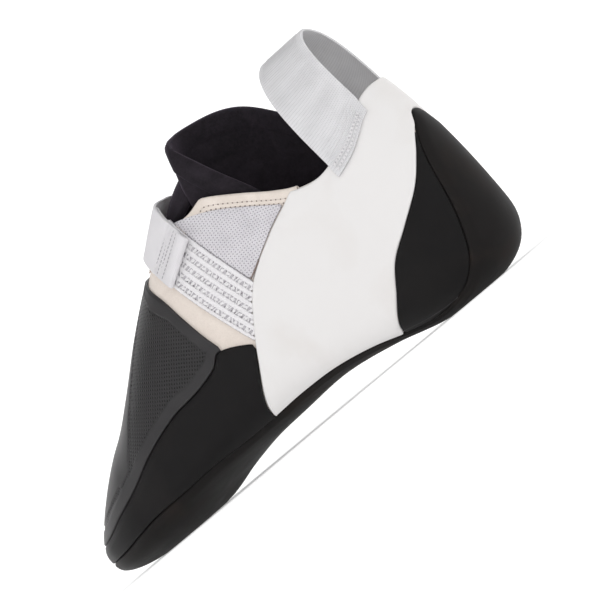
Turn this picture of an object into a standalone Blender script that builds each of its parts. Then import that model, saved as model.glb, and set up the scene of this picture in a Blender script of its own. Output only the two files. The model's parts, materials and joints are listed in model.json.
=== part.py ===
"""Slip-on climbing shoe with one strap, for the right foot.

X runs from heel to toe, +Y is the medial side (big toe), +Z is up. The origin is the
centre of the flat spot under the heel. All lengths are in metres.
"""
import math
from collections import namedtuple

import bmesh
import bpy
import numpy as np

# Main sizes of the last and of the shoe built on it.
LENGTH = 0.240
BALL_WIDTH = 0.090
INSTEP_HEIGHT = 0.114
HEEL_HEIGHT = 0.094
GIRTH_HEIGHT = 0.026
HEEL_BACK = 0.033
ARCH_RISE = 0.009
BALL_RISE = 0.0065
TOE_SPRING = 0.0015
TOE_SWING = 0.007
CREST_SHIFT = 0.005

# Thicknesses of the layers, and the gap kept between them.
GAP = 0.0003
UPPER_WALL = 0.0016
INSOLE_THICKNESS = 0.0025
SOLE_THICKNESS = 0.0035
SOLE_WEAR = 0.0006
SOLE_SIDE = 0.0022
SOLE_EDGE = 0.016
RAND_THICKNESS = 0.0011
SLING_THICKNESS = 0.0013
PATCH_THICKNESS = 0.0008
TOE_PATCH_THICKNESS = 0.0013
GUSSET_THICKNESS = 0.0007
BINDING = 0.006
KNIT_THICKNESS = 0.0013
KNIT_EDGE = 0.010
STRAP_THICKNESS = 0.0013
STRAP_WIDTH = 0.021
STRAP_GAP = 0.00045
LASTING_MARGIN = 0.010
OPENING_RISE = 0.0048
TONGUE_THICKNESS = 0.0032
TONGUE_HEIGHT = 0.134
CUFF_REACH = 0.036
CUFF_WIDTH = 0.054
CUFF_DEPTH = 0.014
CUFF_LOW = 0.005
CUFF_GAP = 0.0012
CUFF_LEAN = 0.008
CUFF_ROUND = 0.0012
TONGUE_GAP = 0.0004
LOOP_WIDTH = 0.024
LOOP_HEIGHT = 0.042
LOOP_LEAN = 0.006
LOOP_SEAT = 0.007
LOOP_GAP = 0.0009
LOOP_OVER = 0.0006
WEBBING = 0.0012

# Places along the last, as shares of its length.
HEEL_SPOT = 0.12
HEEL_PIVOT = 0.135
TOE_PIVOT = 0.82
Mark = namedtuple("Mark", "share")
CUFF_FRONT = Mark(0.433)
LOOP_REAR = Mark(0.045)
REAR_BOUND = Mark(-0.20)
FRONT_BOUND = Mark(1.20)

# Powers of the section curves: square under the ball, round under the arch and on top.
CROWN_POWER = 2.1
TOE_POWER = 1.9

# Share of the bottom's rise that the crest doesn't follow.
CROWN_STEADY = 0.75

# Steps along the last, round its heel and toe, and up each half section, then the
# steps of the outlines, the cuff and the pull loop.
ALONG = 14
ROUND = 6
UP = 13
SAMPLES = 16
LONG_SAMPLES = 24
SHORT_SAMPLES = 10
CUFF_STEPS = 21
LOOP_STEPS = 6
MERGE = 1e-5
SLIVER = 1e-6
MITRE = 0.8
SMOOTH_ANGLE = 40.0

# Half widths are shares of BALL_WIDTH, crown of INSTEP_HEIGHT and girth of GIRTH_HEIGHT.
Station = namedtuple("Station", "share medial lateral crown girth sole_power")
LAST = [
    Station(0.000, 0.310, 0.328, 1.160, 1.00, 2.9),
    Station(0.135, 0.311, 0.328, 1.160, 1.00, 2.9),
    Station(0.250, 0.289, 0.333, 1.130, 1.00, 2.7),
    Station(0.360, 0.283, 0.367, 1.080, 1.00, 2.4),
    Station(0.460, 0.322, 0.440, 1.000, 1.00, 2.4),
    Station(0.560, 0.394, 0.500, 0.845, 0.92, 2.6),
    Station(0.660, 0.461, 0.517, 0.690, 0.81, 2.9),
    Station(0.740, 0.489, 0.455, 0.553, 0.73, 3.0),
    Station(0.820, 0.462, 0.380, 0.440, 0.65, 3.0),
    Station(1.000, 0.340, 0.230, 0.340, 0.42, 3.0),
]

# Rise of the bottom, as shares of the named rises.
Bed = namedtuple("Bed", "share arch ball spring")
BED = [
    Bed(-0.05, 0.08, 0.00, 0.0),
    Bed(0.05, 0.00, 0.00, 0.0),
    Bed(0.19, 0.03, 0.00, 0.0),
    Bed(0.30, 0.60, 0.00, 0.0),
    Bed(0.42, 1.00, 0.00, 0.0),
    Bed(0.54, 0.70, 0.30, 0.0),
    Bed(0.66, 0.00, 1.00, 0.0),
    Bed(0.73, 0.00, 0.58, 0.0),
    Bed(0.79, 0.00, 0.08, 0.0),
    Bed(0.83, 0.00, 0.00, 0.0),
    Bed(0.92, 0.00, 0.00, 0.0),
    Bed(1.00, 0.00, 0.00, 1.0),
    Bed(1.05, 0.00, 0.00, 2.0),
]

# Swing of the centre line towards the big toe, and of the crest towards the medial side.
Swing = namedtuple("Swing", "share toe crest")
SWING = [
    Swing(-0.05, 0.00, 0.0),
    Swing(0.30, 0.00, 0.0),
    Swing(0.50, 0.00, 1.0),
    Swing(0.65, 0.10, 1.0),
    Swing(0.80, 0.35, 0.8),
    Swing(0.90, 0.65, 0.5),
    Swing(1.00, 1.00, 0.4),
    Swing(1.05, 1.10, 0.4),
]

# Side outlines of the pieces. Heights are shares of the two heights named in the columns.
Edge = namedtuple("Edge", "share heel instep")
COLLAR = [
    Edge(-0.060, 0.99, 0.0),
    Edge(0.010, 1.00, 0.0),
    Edge(0.045, 0.99, 0.0),
    Edge(0.100, 0.89, 0.0),
    Edge(0.170, 0.84, 0.0),
    Edge(0.225, 0.86, 0.0),
    Edge(0.270, 0.00, 0.755),
    Edge(0.325, 0.00, 0.83),
    Edge(0.380, 0.00, 0.90),
    Edge(0.430, 0.00, 0.945),
    Edge(0.480, 0.00, 0.975),
    Edge(0.540, 0.00, 1.03),
]
SLING_FRONT = [
    Edge(0.205, 0.0, 0.840),
    Edge(0.232, 0.0, 0.735),
    Edge(0.320, 0.0, 0.655),
    Edge(0.395, 0.0, 0.565),
    Edge(0.445, 0.0, 0.440),
    Edge(0.490, 0.0, 0.290),
    Edge(0.532, 0.0, 0.150),
    Edge(0.545, 0.0, 0.040),
]
SLING_REAR = [
    Edge(0.275, 0.00, 0.0),
    Edge(0.263, 0.08, 0.0),
    Edge(0.207, 0.22, 0.0),
    Edge(0.165, 0.34, 0.0),
    Edge(0.111, 0.43, 0.0),
    Edge(0.060, 0.53, 0.0),
    Edge(0.030, 0.64, 0.0),
    Edge(0.000, 0.80, 0.0),
    Edge(-0.050, 0.84, 0.0),
]
HEEL_STRIP = [
    Edge(0.263, 0.085, 0.0),
    Edge(0.205, 0.055, 0.0),
    Edge(0.150, 0.055, 0.0),
    Edge(0.100, 0.085, 0.0),
    Edge(0.063, 0.160, 0.0),
    Edge(0.043, 0.280, 0.0),
    Edge(0.032, 0.420, 0.0),
    Edge(0.025, 0.580, 0.0),
    Edge(0.014, 0.740, 0.0),
    Edge(0.004, 0.820, 0.0),
    Edge(-0.060, 0.840, 0.0),
]
RAND_TOP = [
    Edge(0.440, 0.0, 0.330),
    Edge(0.475, 0.0, 0.400),
    Edge(0.520, 0.0, 0.445),
    Edge(0.545, 0.0, 0.410),
    Edge(0.590, 0.0, 0.385),
    Edge(0.650, 0.0, 0.370),
    Edge(0.720, 0.0, 0.325),
    Edge(0.790, 0.0, 0.262),
    Edge(0.860, 0.0, 0.215),
    Edge(0.930, 0.0, 0.175),
    Edge(1.060, 0.0, 0.145),
]
PATCH_REAR = [
    Edge(0.510, 0.0, 0.430),
    Edge(0.523, 0.0, 0.520),
    Edge(0.535, 0.0, 0.620),
    Edge(0.550, 0.0, 0.720),
    Edge(0.575, 0.0, 0.800),
    Edge(0.610, 0.0, 0.900),
]

# Top edge of the outsole, as shares of SOLE_EDGE.
Rim = namedtuple("Rim", "share height")
SOLE_RIM = [
    Rim(0.263, 0.52),
    Rim(0.323, 0.78),
    Rim(0.400, 0.98),
    Rim(0.474, 1.03),
    Rim(0.540, 1.00),
    Rim(0.600, 1.00),
    Rim(0.660, 1.03),
    Rim(0.720, 0.98),
    Rim(0.800, 0.93),
    Rim(0.860, 0.82),
    Rim(0.920, 0.73),
    Rim(1.060, 0.66),
]

# Throat and tongue from above, as shares of LENGTH and BALL_WIDTH.
Slit = namedtuple("Slit", "share medial lateral")
THROAT = [
    Slit(0.345, 0.118, 0.100),
    Slit(0.370, 0.140, 0.130),
    Slit(0.400, 0.158, 0.190),
    Slit(0.430, 0.172, 0.190),
    Slit(0.460, 0.17, 0.15),
    Slit(0.520, 0.13, 0.10),
    Slit(0.560, 0.08, 0.05),
    Slit(0.578, 0.03, 0.00),
]
TONGUE = [
    Slit(0.410, 0.22, 0.19),
    Slit(0.480, 0.22, 0.19),
    Slit(0.550, 0.18, 0.15),
    Slit(0.595, 0.12, 0.09),
    Slit(0.610, 0.08, 0.05),
]

# Lengths of the opening under the upper and of the insole board, as shares of LENGTH.
Span = namedtuple("Span", "rear front steps")
OPENING = Span(0.09, 0.93, 13)
BOARD = Span(-0.05, 1.05, 18)

# Rim of the cuff round the ankle: angle from the front, height as a share of its rise.
Wing = namedtuple("Wing", "angle rise")
CUFF_LEVELS = (0.0, 0.35, 0.70, 1.0)
CUFF = [
    Wing(-125.0, 0.10),
    Wing(-100.0, 0.42),
    Wing(-70.0, 0.78),
    Wing(-40.0, 0.94),
    Wing(-10.0, 1.00),
    Wing(15.0, 0.88),
    Wing(35.0, 0.50),
    Wing(55.0, 0.10),
    Wing(75.0, 0.02),
]

# Path of the pull loop from the heel's side over its top, as shares of LOOP_HEIGHT.
Bend = namedtuple("Bend", "rise spread")
LOOP = [
    Bend(0.00, 1.00),
    Bend(0.10, 1.00),
    Bend(0.21, 1.00),
    Bend(0.42, 0.98),
    Bend(0.64, 0.90),
    Bend(0.82, 0.72),
    Bend(0.94, 0.43),
    Bend(1.00, 0.00),
]

# Middle line of the strap from the sling's edge to the crest, the strap's hem, the lower
# edge of the gusset's region, and the top of the heel patches.
STRAP_LINE = [Edge(0.425, 0.0, 0.455), Edge(0.500, 0.0, 0.900)]
STRAP_OVERRUN = 0.4
HEM = [Edge(0.440, 0.0, 0.885), Edge(0.560, 0.0, 0.720)]
GUSSET_FOOT = [Edge(0.220, 0.0, 0.600), Edge(0.560, 0.0, 0.300)]
PATCH_TOP = Edge(0.000, 0.72, 0.0)

Finish = namedtuple("Finish", "colour roughness")
RUBBER = Finish((0.030, 0.028, 0.028), 0.62)
FINISHES = {
    "rubber": RUBBER,
    "rand rubber": Finish((0.024, 0.022, 0.022), 0.70),
    "white rubber": Finish((0.87, 0.86, 0.85), 0.50),
    "microfibre": Finish((0.78, 0.74, 0.69), 0.90),
    "webbing": Finish((0.70, 0.70, 0.71), 0.85),
    "neoprene": Finish((0.020, 0.018, 0.024), 0.95),
    "insole board": Finish((0.060, 0.058, 0.060), 0.90),
}


def clear_scene():
    for old in list(bpy.data.objects):
        bpy.data.objects.remove(old, do_unlink=True)


def collection(name):
    group = bpy.data.collections.new(name)
    bpy.context.scene.collection.children.link(group)
    return group


def smooth(table, column, share):
    """Value of a table's column at a share of the length, on a smooth curve."""
    places = np.array([row.share for row in table])
    values = np.array([getattr(row, column) for row in table])
    slopes = np.gradient(values, places)
    i = int(np.clip(np.searchsorted(places, share) - 1, 0, len(places) - 2))
    step = places[i + 1] - places[i]
    t = float(np.clip((share - places[i]) / step, 0.0, 1.0))
    return float(
        (2 * t**3 - 3 * t**2 + 1) * values[i]
        + (t**3 - 2 * t**2 + t) * step * slopes[i]
        + (3 * t**2 - 2 * t**3) * values[i + 1]
        + (t**3 - t**2) * step * slopes[i + 1]
    )


def slope_of(column, share, step=0.001):
    """Slope of a column of the last's table, per share of the length."""
    return (smooth(LAST, column, share + step) - smooth(LAST, column, share - step)) / (2 * step)


def place(share):
    return (share - HEEL_SPOT) * LENGTH


def share_of(x):
    return x / LENGTH + HEEL_SPOT


def bed(share):
    """Rise of the shoe's bottom over the floor."""
    rise = smooth(BED, "arch", share) * ARCH_RISE
    rise += smooth(BED, "ball", share) * BALL_RISE
    return rise + smooth(BED, "spring", share) * TOE_SPRING


def last_bottom(share):
    return bed(share) + SOLE_THICKNESS - SOLE_WEAR


def half_section(base, reach, share, girth, offsets):
    """Points from the sole's centre line out to the side and up to the crest.

    base is the section's middle in plan, reach the vector to its side, and offsets how
    far this surface lies from the last.
    """
    side = offsets.medial if reach[1] >= 0 else offsets.lateral
    length = math.hypot(*reach)
    scale = (length + side) / length
    crown = smooth(LAST, "crown", share) * INSTEP_HEIGHT
    floor = SOLE_THICKNESS - SOLE_WEAR
    sole_power = smooth(LAST, "sole_power", share)
    points = []
    for turn in np.linspace(-math.pi / 2, math.pi / 2, UP):
        low = turn < 0
        power = sole_power if low else CROWN_POWER
        out = max(math.cos(turn), 0.0) ** (2 / power)
        lift = abs(math.sin(turn)) ** (2 / power)
        if low:
            height = girth - (girth - floor + offsets.under) * lift
        else:
            height = girth + (crown - girth + offsets.crown) * lift
        x = base[0] + reach[0] * scale * out
        y = base[1] + reach[1] * scale * out
        spot = share_of(x)
        climb = min(max(height / crown, 0.0), 1.0)
        y += smooth(SWING, "crest", share) * CREST_SHIFT * climb
        y += smooth(SWING, "toe", spot) * TOE_SWING
        fade = 1.0 if low else 1.0 - CROWN_STEADY * lift
        nose = max(spot - TOE_PIVOT, 0.0) * lift
        fall = 0.0 if low else -slope_of("crown", TOE_PIVOT) * INSTEP_HEIGHT * nose
        points.append((x, y, max(height + bed(spot) * fade - fall, 0.0)))
    return points


Layer = namedtuple("Layer", "medial lateral crown under")


def layer(offset, under=None, lateral=None):
    """Offsets of a surface from the last, even unless a side or the bottom differs."""
    return Layer(
        offset,
        offset if lateral is None else lateral,
        offset,
        offset if under is None else under,
    )


def toe_half(column, ahead):
    """Half width of the toe, at a share of the way from its pivot to its tip."""
    straight = smooth(LAST, column, TOE_PIVOT) + slope_of(column, TOE_PIVOT) * (1.0 - TOE_PIVOT) * ahead
    return straight * BALL_WIDTH * max(1.0 - ahead**TOE_POWER, 0.0) ** (1 / TOE_POWER)


def section_plan():
    """Base, reach, share and girth height of each half section, round the shoe."""
    quarter = np.linspace(0.0, math.pi / 2, ROUND + 1)
    heel, toe = place(HEEL_PIVOT), place(TOE_PIVOT)
    nose = (1.0 - TOE_PIVOT) * LENGTH
    tip_girth = LAST[-1].girth * GIRTH_HEIGHT

    def side(column, sign):
        width = BALL_WIDTH * sign
        rows = []
        for turn in quarter[:-1]:
            reach = (-HEEL_BACK * math.cos(turn), width * smooth(LAST, column, HEEL_PIVOT) * math.sin(turn))
            rows.append(((heel, 0.0), reach, HEEL_PIVOT, smooth(LAST, "girth", HEEL_PIVOT) * GIRTH_HEIGHT))
        for spot in np.linspace(HEEL_PIVOT, TOE_PIVOT, ALONG + 1)[:-1]:
            reach = (0.0, width * smooth(LAST, column, spot))
            rows.append(((place(spot), 0.0), reach, spot, smooth(LAST, "girth", spot) * GIRTH_HEIGHT))
        for turn in quarter[::-1]:
            ahead = 0.0 if turn == quarter[-1] else math.cos(turn) ** (2 / TOE_POWER)
            reach = (nose * ahead, sign * toe_half(column, ahead))
            girth = smooth(LAST, "girth", TOE_PIVOT) * GIRTH_HEIGHT * (1.0 - ahead) + tip_girth * ahead
            rows.append(((toe, 0.0), reach, TOE_PIVOT, girth))
        return rows

    return side("medial", 1.0) + side("lateral", -1.0)[::-1][1:-1]


def link_mesh(name, bm, group):
    bmesh.ops.remove_doubles(bm, verts=bm.verts, dist=MERGE)
    bmesh.ops.dissolve_degenerate(bm, edges=bm.edges, dist=SLIVER)
    bmesh.ops.recalc_face_normals(bm, faces=bm.faces)
    mesh = bpy.data.meshes.new(name)
    bm.to_mesh(mesh)
    bm.free()
    item = bpy.data.objects.new(name, mesh)
    group.objects.link(item)
    return item


def skin(rings, closed_rings, closed_path):
    """Loft between rings of points, in triangles that all split the same way."""
    bm = bmesh.new()
    verts = [[bm.verts.new(point) for point in ring] for ring in rings]
    rows = len(verts) if closed_path else len(verts) - 1
    columns = len(verts[0]) if closed_rings else len(verts[0]) - 1
    for i in range(rows):
        this, following = verts[i], verts[(i + 1) % len(verts)]
        for k in range(columns):
            m = (k + 1) % len(this)
            bm.faces.new((this[k], following[k], following[m]))
            bm.faces.new((this[k], following[m], this[m]))
    if not closed_path and closed_rings:
        bm.faces.new(verts[0])
        bm.faces.new(verts[-1])
    return bm


def form(name, offsets, group):
    """Closed body of the last, grown or shrunk by a layer's offsets."""
    rings = [half_section(*section, offsets) for section in section_plan()]
    return link_mesh(name, skin(rings, False, True), group)


def as_cutter(item):
    item.hide_render = True
    item.display_type = "WIRE"
    return item


def height_of(edge):
    return edge.heel * HEEL_HEIGHT + edge.instep * INSTEP_HEIGHT


def spot_of(edge):
    return place(edge.share), height_of(edge)


def curve_points(points, samples=SAMPLES):
    """Smooth plane curve through a few hand-placed points."""
    points = np.array(points)
    steps = np.arange(len(points))
    slopes = np.gradient(points, axis=0)
    result = []
    for s in np.linspace(0, len(points) - 1, samples):
        i = min(int(s), len(points) - 2)
        t = s - steps[i]
        result.append(
            (2 * t**3 - 3 * t**2 + 1) * points[i]
            + (t**3 - 2 * t**2 + t) * slopes[i]
            + (3 * t**2 - 2 * t**3) * points[i + 1]
            + (t**3 - t**2) * slopes[i + 1]
        )
    return [tuple(point) for point in result]


def edge_curve(table, samples=SAMPLES):
    return curve_points([spot_of(edge) for edge in table], samples)


def rim_curve(samples=SAMPLES):
    return curve_points([(place(rim.share), rim.height * SOLE_EDGE) for rim in SOLE_RIM], samples)


def area(outline):
    pairs = zip(outline, outline[1:] + outline[:1])
    return sum(a[0] * b[1] - b[0] * a[1] for a, b in pairs) / 2


def grow(outline, distance):
    """Outline moved outwards by a distance, corner by corner."""
    if area(outline) < 0:
        outline = outline[::-1]
    result = []
    for before, here, after in zip(outline[-1:] + outline[:-1], outline, outline[1:] + outline[:1]):
        normals = []
        for a, b in ((before, here), (here, after)):
            run, rise = b[0] - a[0], b[1] - a[1]
            size = math.hypot(run, rise)
            normals.append((rise / size, -run / size))
        nx, nz = normals[0][0] + normals[1][0], normals[0][1] + normals[1][1]
        size = max(math.hypot(nx, nz), MITRE)
        spread = distance * 2 / size**2
        result.append((here[0] + nx * spread, here[1] + nz * spread))
    return result


def prism(name, outline, low, high, group, upright=False):
    """Flat outline with a thickness: along Y from a side outline, or upright from a plan."""
    curve = bpy.data.curves.new(name, "CURVE")
    curve.dimensions = "2D"
    curve.fill_mode = "BOTH"
    curve.extrude = (high - low) / 2
    spline = curve.splines.new("POLY")
    spline.points.add(len(outline) - 1)
    for point, spot in zip(spline.points, outline):
        point.co = (spot[0], spot[1], 0.0, 1.0)
    spline.use_cyclic_u = True
    drawn = bpy.data.objects.new(name + " outline", curve)
    group.objects.link(drawn)
    if upright:
        drawn.location.z = (low + high) / 2
    else:
        drawn.rotation_euler.x = math.pi / 2
        drawn.location.y = (low + high) / 2
    bpy.context.view_layer.update()
    mesh = bpy.data.meshes.new_from_object(drawn.evaluated_get(bpy.context.evaluated_depsgraph_get()))
    bm = bmesh.new()
    bm.from_mesh(mesh)
    bmesh.ops.remove_doubles(bm, verts=bm.verts, dist=SLIVER)
    bmesh.ops.recalc_face_normals(bm, faces=bm.faces)
    bm.to_mesh(mesh)
    bm.free()
    item = bpy.data.objects.new(name, mesh)
    item.matrix_world = drawn.matrix_world
    group.objects.link(item)
    bpy.data.objects.remove(drawn, do_unlink=True)
    return as_cutter(item)


def boolean(item, cutter, operation="DIFFERENCE"):
    modifier = item.modifiers.new(cutter.name, "BOOLEAN")
    modifier.operation = operation
    modifier.object = cutter
    modifier.solver = "EXACT"


def finish(item, key):
    look = FINISHES[key]
    material = bpy.data.materials.new(item.name + " " + key)
    material.use_nodes = True
    shader = material.node_tree.nodes["Principled BSDF"]
    shader.inputs["Base Color"].default_value = (*look.colour, 1.0)
    shader.inputs["Roughness"].default_value = look.roughness
    shader.inputs["Metallic"].default_value = 0.0
    item.data.materials.append(material)
    item.data.shade_smooth()
    item.data.set_sharp_from_angle(angle=math.radians(SMOOTH_ANGLE))


def shell(name, key, outer, inner, keep, cuts=()):
    """Piece cut between two forms of the last, trimmed to an outline and its neighbours."""
    item = form(name, outer, shoe)
    boolean(item, keep, "INTERSECT")
    for cut in cuts:
        boolean(item, cut)
    boolean(item, inner)
    finish(item, key)
    return item


clear_scene()
shoe = collection("climbing shoe")
tools = collection("cutters")

WIDE = BALL_WIDTH
TALL = INSTEP_HEIGHT * 2
DEEP = -INSTEP_HEIGHT / 4
BEHIND = place(REAR_BOUND.share)
AHEAD = place(FRONT_BOUND.share)

# Side outlines, each with the neighbours' gap grown round it.
rim = rim_curve()
strip = edge_curve(HEEL_STRIP)
collar = edge_curve(COLLAR, LONG_SAMPLES)
sling_front = edge_curve(SLING_FRONT)
sling_rear = edge_curve(SLING_REAR)
rand_top = edge_curve(RAND_TOP)
patch_rear = edge_curve(PATCH_REAR, SHORT_SAMPLES)

sole_outline = rim[1:] + [(AHEAD, rim[-1][1]), (AHEAD, DEEP), (BEHIND, DEEP)]
sole_outline += [(BEHIND, strip[-1][1])] + strip[::-1]


def collar_at(x):
    return float(np.interp(x, [spot[0] for spot in collar], [spot[1] for spot in collar]))


sling_fall = [spot for spot in sling_front if spot[1] < collar_at(spot[0]) - GAP]
sling_top = [(x, z - GAP) for x, z in collar if x < sling_fall[0][0] - GAP]
sling_outline = [(BEHIND, sling_rear[-1][1]), (BEHIND, sling_top[0][1])] + sling_top + sling_fall
sling_outline += [(sling_rear[0][0], DEEP)] + sling_rear
rand_outline = rand_top + [(AHEAD, rand_top[-1][1]), (AHEAD, DEEP), (rand_top[0][0], DEEP)]
toe_outline = patch_rear + [(patch_rear[-1][0], TALL), (AHEAD, TALL), (AHEAD, DEEP)]
toe_outline += [(patch_rear[0][0], DEEP)]


def strap_band(half_width):
    """Side outline of the strap's run, from the sling's edge past the crest."""
    start, end = (np.array(spot_of(edge)) for edge in STRAP_LINE)
    run = end - start
    across = np.array((run[1], -run[0])) / np.linalg.norm(run) * half_width
    start, end = start - run * STRAP_OVERRUN, end + run * STRAP_OVERRUN
    return [tuple(start + across), tuple(end + across), tuple(end - across), tuple(start - across)]


band = strap_band(STRAP_WIDTH / 2)
hem = [spot_of(edge) for edge in HEM]
run, fall = hem[1][0] - hem[0][0], hem[1][1] - hem[0][1]
below_hem = [
    (hem[0][0] - run, hem[0][1] - fall),
    (hem[1][0] + run, hem[1][1] + fall),
    (hem[1][0] + run, DEEP),
    (hem[0][0] - run, DEEP),
]
gusset_outline = [(x, z - BINDING) for x, z in collar if x > place(GUSSET_FOOT[0].share)]
gusset_outline += [spot_of(edge) for edge in GUSSET_FOOT[::-1]]


def wall_y(x, z, offset, sign):
    """Distance of the last's wall from the centre plane, at a place and a height."""
    share = min(max(share_of(x), 0.0), 1.0)
    if share < HEEL_PIVOT:
        back = min((HEEL_PIVOT - share) * LENGTH / (HEEL_BACK + offset), 1.0)
        spot = HEEL_PIVOT
    else:
        back, spot = 0.0, share
    column = "medial" if sign > 0 else "lateral"
    half = smooth(LAST, column, spot) * BALL_WIDTH + offset
    girth = smooth(LAST, "girth", spot) * GIRTH_HEIGHT
    crown = smooth(LAST, "crown", spot) * INSTEP_HEIGHT
    height = min(max(z - (1.0 - CROWN_STEADY) * bed(share), girth), crown + offset)
    lift = ((height - girth) / (crown - girth + offset)) ** (CROWN_POWER / 2)
    out = max(1.0 - lift**2, 0.0) ** (1 / CROWN_POWER)
    across = max(out**2 - back**2, 0.0) ** 0.5
    shift = smooth(SWING, "crest", spot) * CREST_SHIFT * min(z / crown, 1.0)
    return sign * half * across + shift + smooth(SWING, "toe", share) * TOE_SWING


def slit_outline(table):
    medial = [(place(row.share), row.medial * BALL_WIDTH + CREST_SHIFT) for row in table]
    lateral = [(place(row.share), CREST_SHIFT - row.lateral * BALL_WIDTH) for row in table]
    return curve_points(medial, SHORT_SAMPLES) + curve_points(lateral, SHORT_SAMPLES)[::-1]


def floor_beam(name, top, inset, span):
    """Body under a surface that follows the bed, as wide as the last less an inset."""
    rings = []
    for share in np.linspace(span.rear, span.front, span.steps):
        x = place(share)
        sides = []
        for column, sign in (("medial", 1.0), ("lateral", -1.0)):
            half = smooth(LAST, column, max(share, HEEL_PIVOT)) * BALL_WIDTH
            if share < HEEL_PIVOT:
                half *= math.sqrt(max(1.0 - ((HEEL_PIVOT - share) * LENGTH / HEEL_BACK) ** 2, 0.0))
            if share > TOE_PIVOT:
                half = toe_half(column, (share - TOE_PIVOT) / (1.0 - TOE_PIVOT))
            sides.append(sign * (half - inset) + smooth(SWING, "toe", share) * TOE_SWING)
        high = last_bottom(share) + top
        rings.append([(x, sides[0], DEEP), (x, sides[1], DEEP), (x, sides[1], high), (x, sides[0], high)])
    return as_cutter(link_mesh(name, skin(rings, True, False), tools))


# Forms taken out of the pieces, each a layer's inner face.
lining = as_cutter(form("upper lining", layer(-UPPER_WALL), tools))
ground = as_cutter(form("overlay ground", layer(GAP), tools))
sole_keep = prism("sole region", sole_outline, -WIDE, WIDE, tools)
sole_cut = prism("sole clearance", grow(sole_outline, GAP), -WIDE, WIDE, tools)
sling_keep = prism("sling region", sling_outline, -WIDE, WIDE, tools)
sling_cut = prism("sling clearance", grow(sling_outline, GAP), -WIDE, WIDE, tools)
rand_keep = prism("rand region", rand_outline, -WIDE, WIDE, tools)
rand_cut = prism("rand clearance", grow(rand_outline, GAP), -WIDE, WIDE, tools)
toe_keep = prism("toe region", toe_outline, -WIDE, WIDE, tools)
band_keep = prism("strap region", band, -WIDE, WIDE, tools)
band_cut = prism("strap clearance", grow(band, GAP), -WIDE, WIDE, tools)

# Outsole: one rubber body under the foot, up the toe and up the back of the heel.
outsole = shell("outsole", "rubber", layer(SOLE_SIDE, under=SOLE_THICKNESS), ground, sole_keep)

# Upper: the last's own surface with a wall, open at the collar, the throat and underneath.
upper = form("upper", layer(0.0), shoe)
boolean(upper, lining)
opening = collar + [(collar[-1][0], TALL), (BEHIND, TALL), (BEHIND, collar[0][1])]
boolean(upper, prism("collar opening", opening, -WIDE, WIDE, tools))
boolean(upper, prism("throat opening", slit_outline(THROAT), INSTEP_HEIGHT / 2, TALL, tools, upright=True))
boolean(upper, floor_beam("sole opening", OPENING_RISE, LASTING_MARGIN, OPENING))
finish(upper, "microfibre")

# Insole: a board on the upper's lasting margin, as wide as the foot's cavity.
insole = form("insole", layer(-UPPER_WALL - GAP), shoe)
board_top = UPPER_WALL + GAP + INSOLE_THICKNESS
boolean(insole, floor_beam("insole top", board_top, -LASTING_MARGIN, BOARD), "INTERSECT")
finish(insole, "insole board")

# Rubber sling from the arch round the top of the heel.
sling_face = layer(GAP + SLING_THICKNESS)
shell("heel_sling", "white rubber", sling_face, ground, sling_keep, [sole_cut])

# Heel patches fill what the sling and the heel strip leave open on each side.
patch_face = layer(GAP + PATCH_THICKNESS)
top, front = height_of(PATCH_TOP), sling_rear[0][0]
patch_outline = [(BEHIND, DEEP), (front, DEEP), (front, top), (BEHIND, top)]
for side, low, high in (("medial", 0.0, WIDE), ("lateral", -WIDE, 0.0)):
    region = prism("heel patch region " + side, patch_outline, low, high, tools)
    shell("heel_patch_" + side, "rand rubber", patch_face, ground, region, [sole_cut, sling_cut])

# Rand round the toe, and the patch of rubber over the toes and vamp.
shell("toe_rand", "rubber", layer(GAP + RAND_THICKNESS), ground, rand_keep, [sole_cut, sling_cut])
toe_face = layer(GAP + TOE_PATCH_THICKNESS)
shell("toe_patch", "rand rubber", toe_face, ground, toe_keep, [rand_cut, sling_cut, sole_cut])

# Elastic: the knit strap on the medial side, and a gusset behind it on each side.
whole_side = [(BEHIND, DEEP), (AHEAD, DEEP), (AHEAD, TALL), (BEHIND, TALL)]
lateral_side = prism("lateral side", whole_side, -WIDE, KNIT_EDGE, tools)
knit = form("knit_strap", layer(GAP + KNIT_THICKNESS), shoe)
boolean(knit, band_keep, "INTERSECT")
boolean(knit, lateral_side)
boolean(knit, sling_cut)
boolean(knit, ground)
boolean(knit, bpy.data.objects["throat opening"])
finish(knit, "webbing")
gusset_face = layer(GAP + GUSSET_THICKNESS)
front_outline = [band[1], (AHEAD, band[1][1]), (AHEAD, DEEP), (band[0][0], DEEP), band[0]]
ahead_of_band = prism("gusset front", front_outline, -WIDE, WIDE, tools)
for side, low, high in (("medial", CREST_SHIFT, WIDE), ("lateral", -WIDE, CREST_SHIFT)):
    region = prism("gusset region " + side, gusset_outline, low, high, tools)
    shell("gusset_" + side, "webbing", gusset_face, ground, region, [sling_cut, band_cut, ahead_of_band])

# Closure strap: webbing over the crest, from the lateral sling to its hem on the medial side.
strap_low = GAP + KNIT_THICKNESS + GAP
strap_face = layer(strap_low + STRAP_THICKNESS, lateral=STRAP_GAP + STRAP_THICKNESS)
closure = form("closure_strap", strap_face, shoe)
boolean(closure, band_keep, "INTERSECT")
boolean(closure, prism("hem", below_hem, CREST_SHIFT, WIDE, tools))
boolean(closure, sling_cut)
boolean(closure, as_cutter(form("strap ground", layer(strap_low, lateral=STRAP_GAP), tools)))
finish(closure, "webbing")


def cuff_point(angle, depth):
    """Plan point on the cuff: an ellipse in front, the upper's inner wall at the sides."""
    turn = math.radians(angle)
    x = place(CUFF_FRONT.share) - CUFF_REACH + (CUFF_REACH - depth) * math.cos(turn)
    sign = 1.0 if turn >= 0 else -1.0
    bow = (CUFF_WIDTH / 2 - depth) * math.sin(turn) + CREST_SHIFT
    wall = wall_y(x, collar_at(x), -UPPER_WALL - CUFF_GAP - depth, sign)
    return x, min(bow, wall) if sign > 0 else max(bow, wall)


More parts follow.
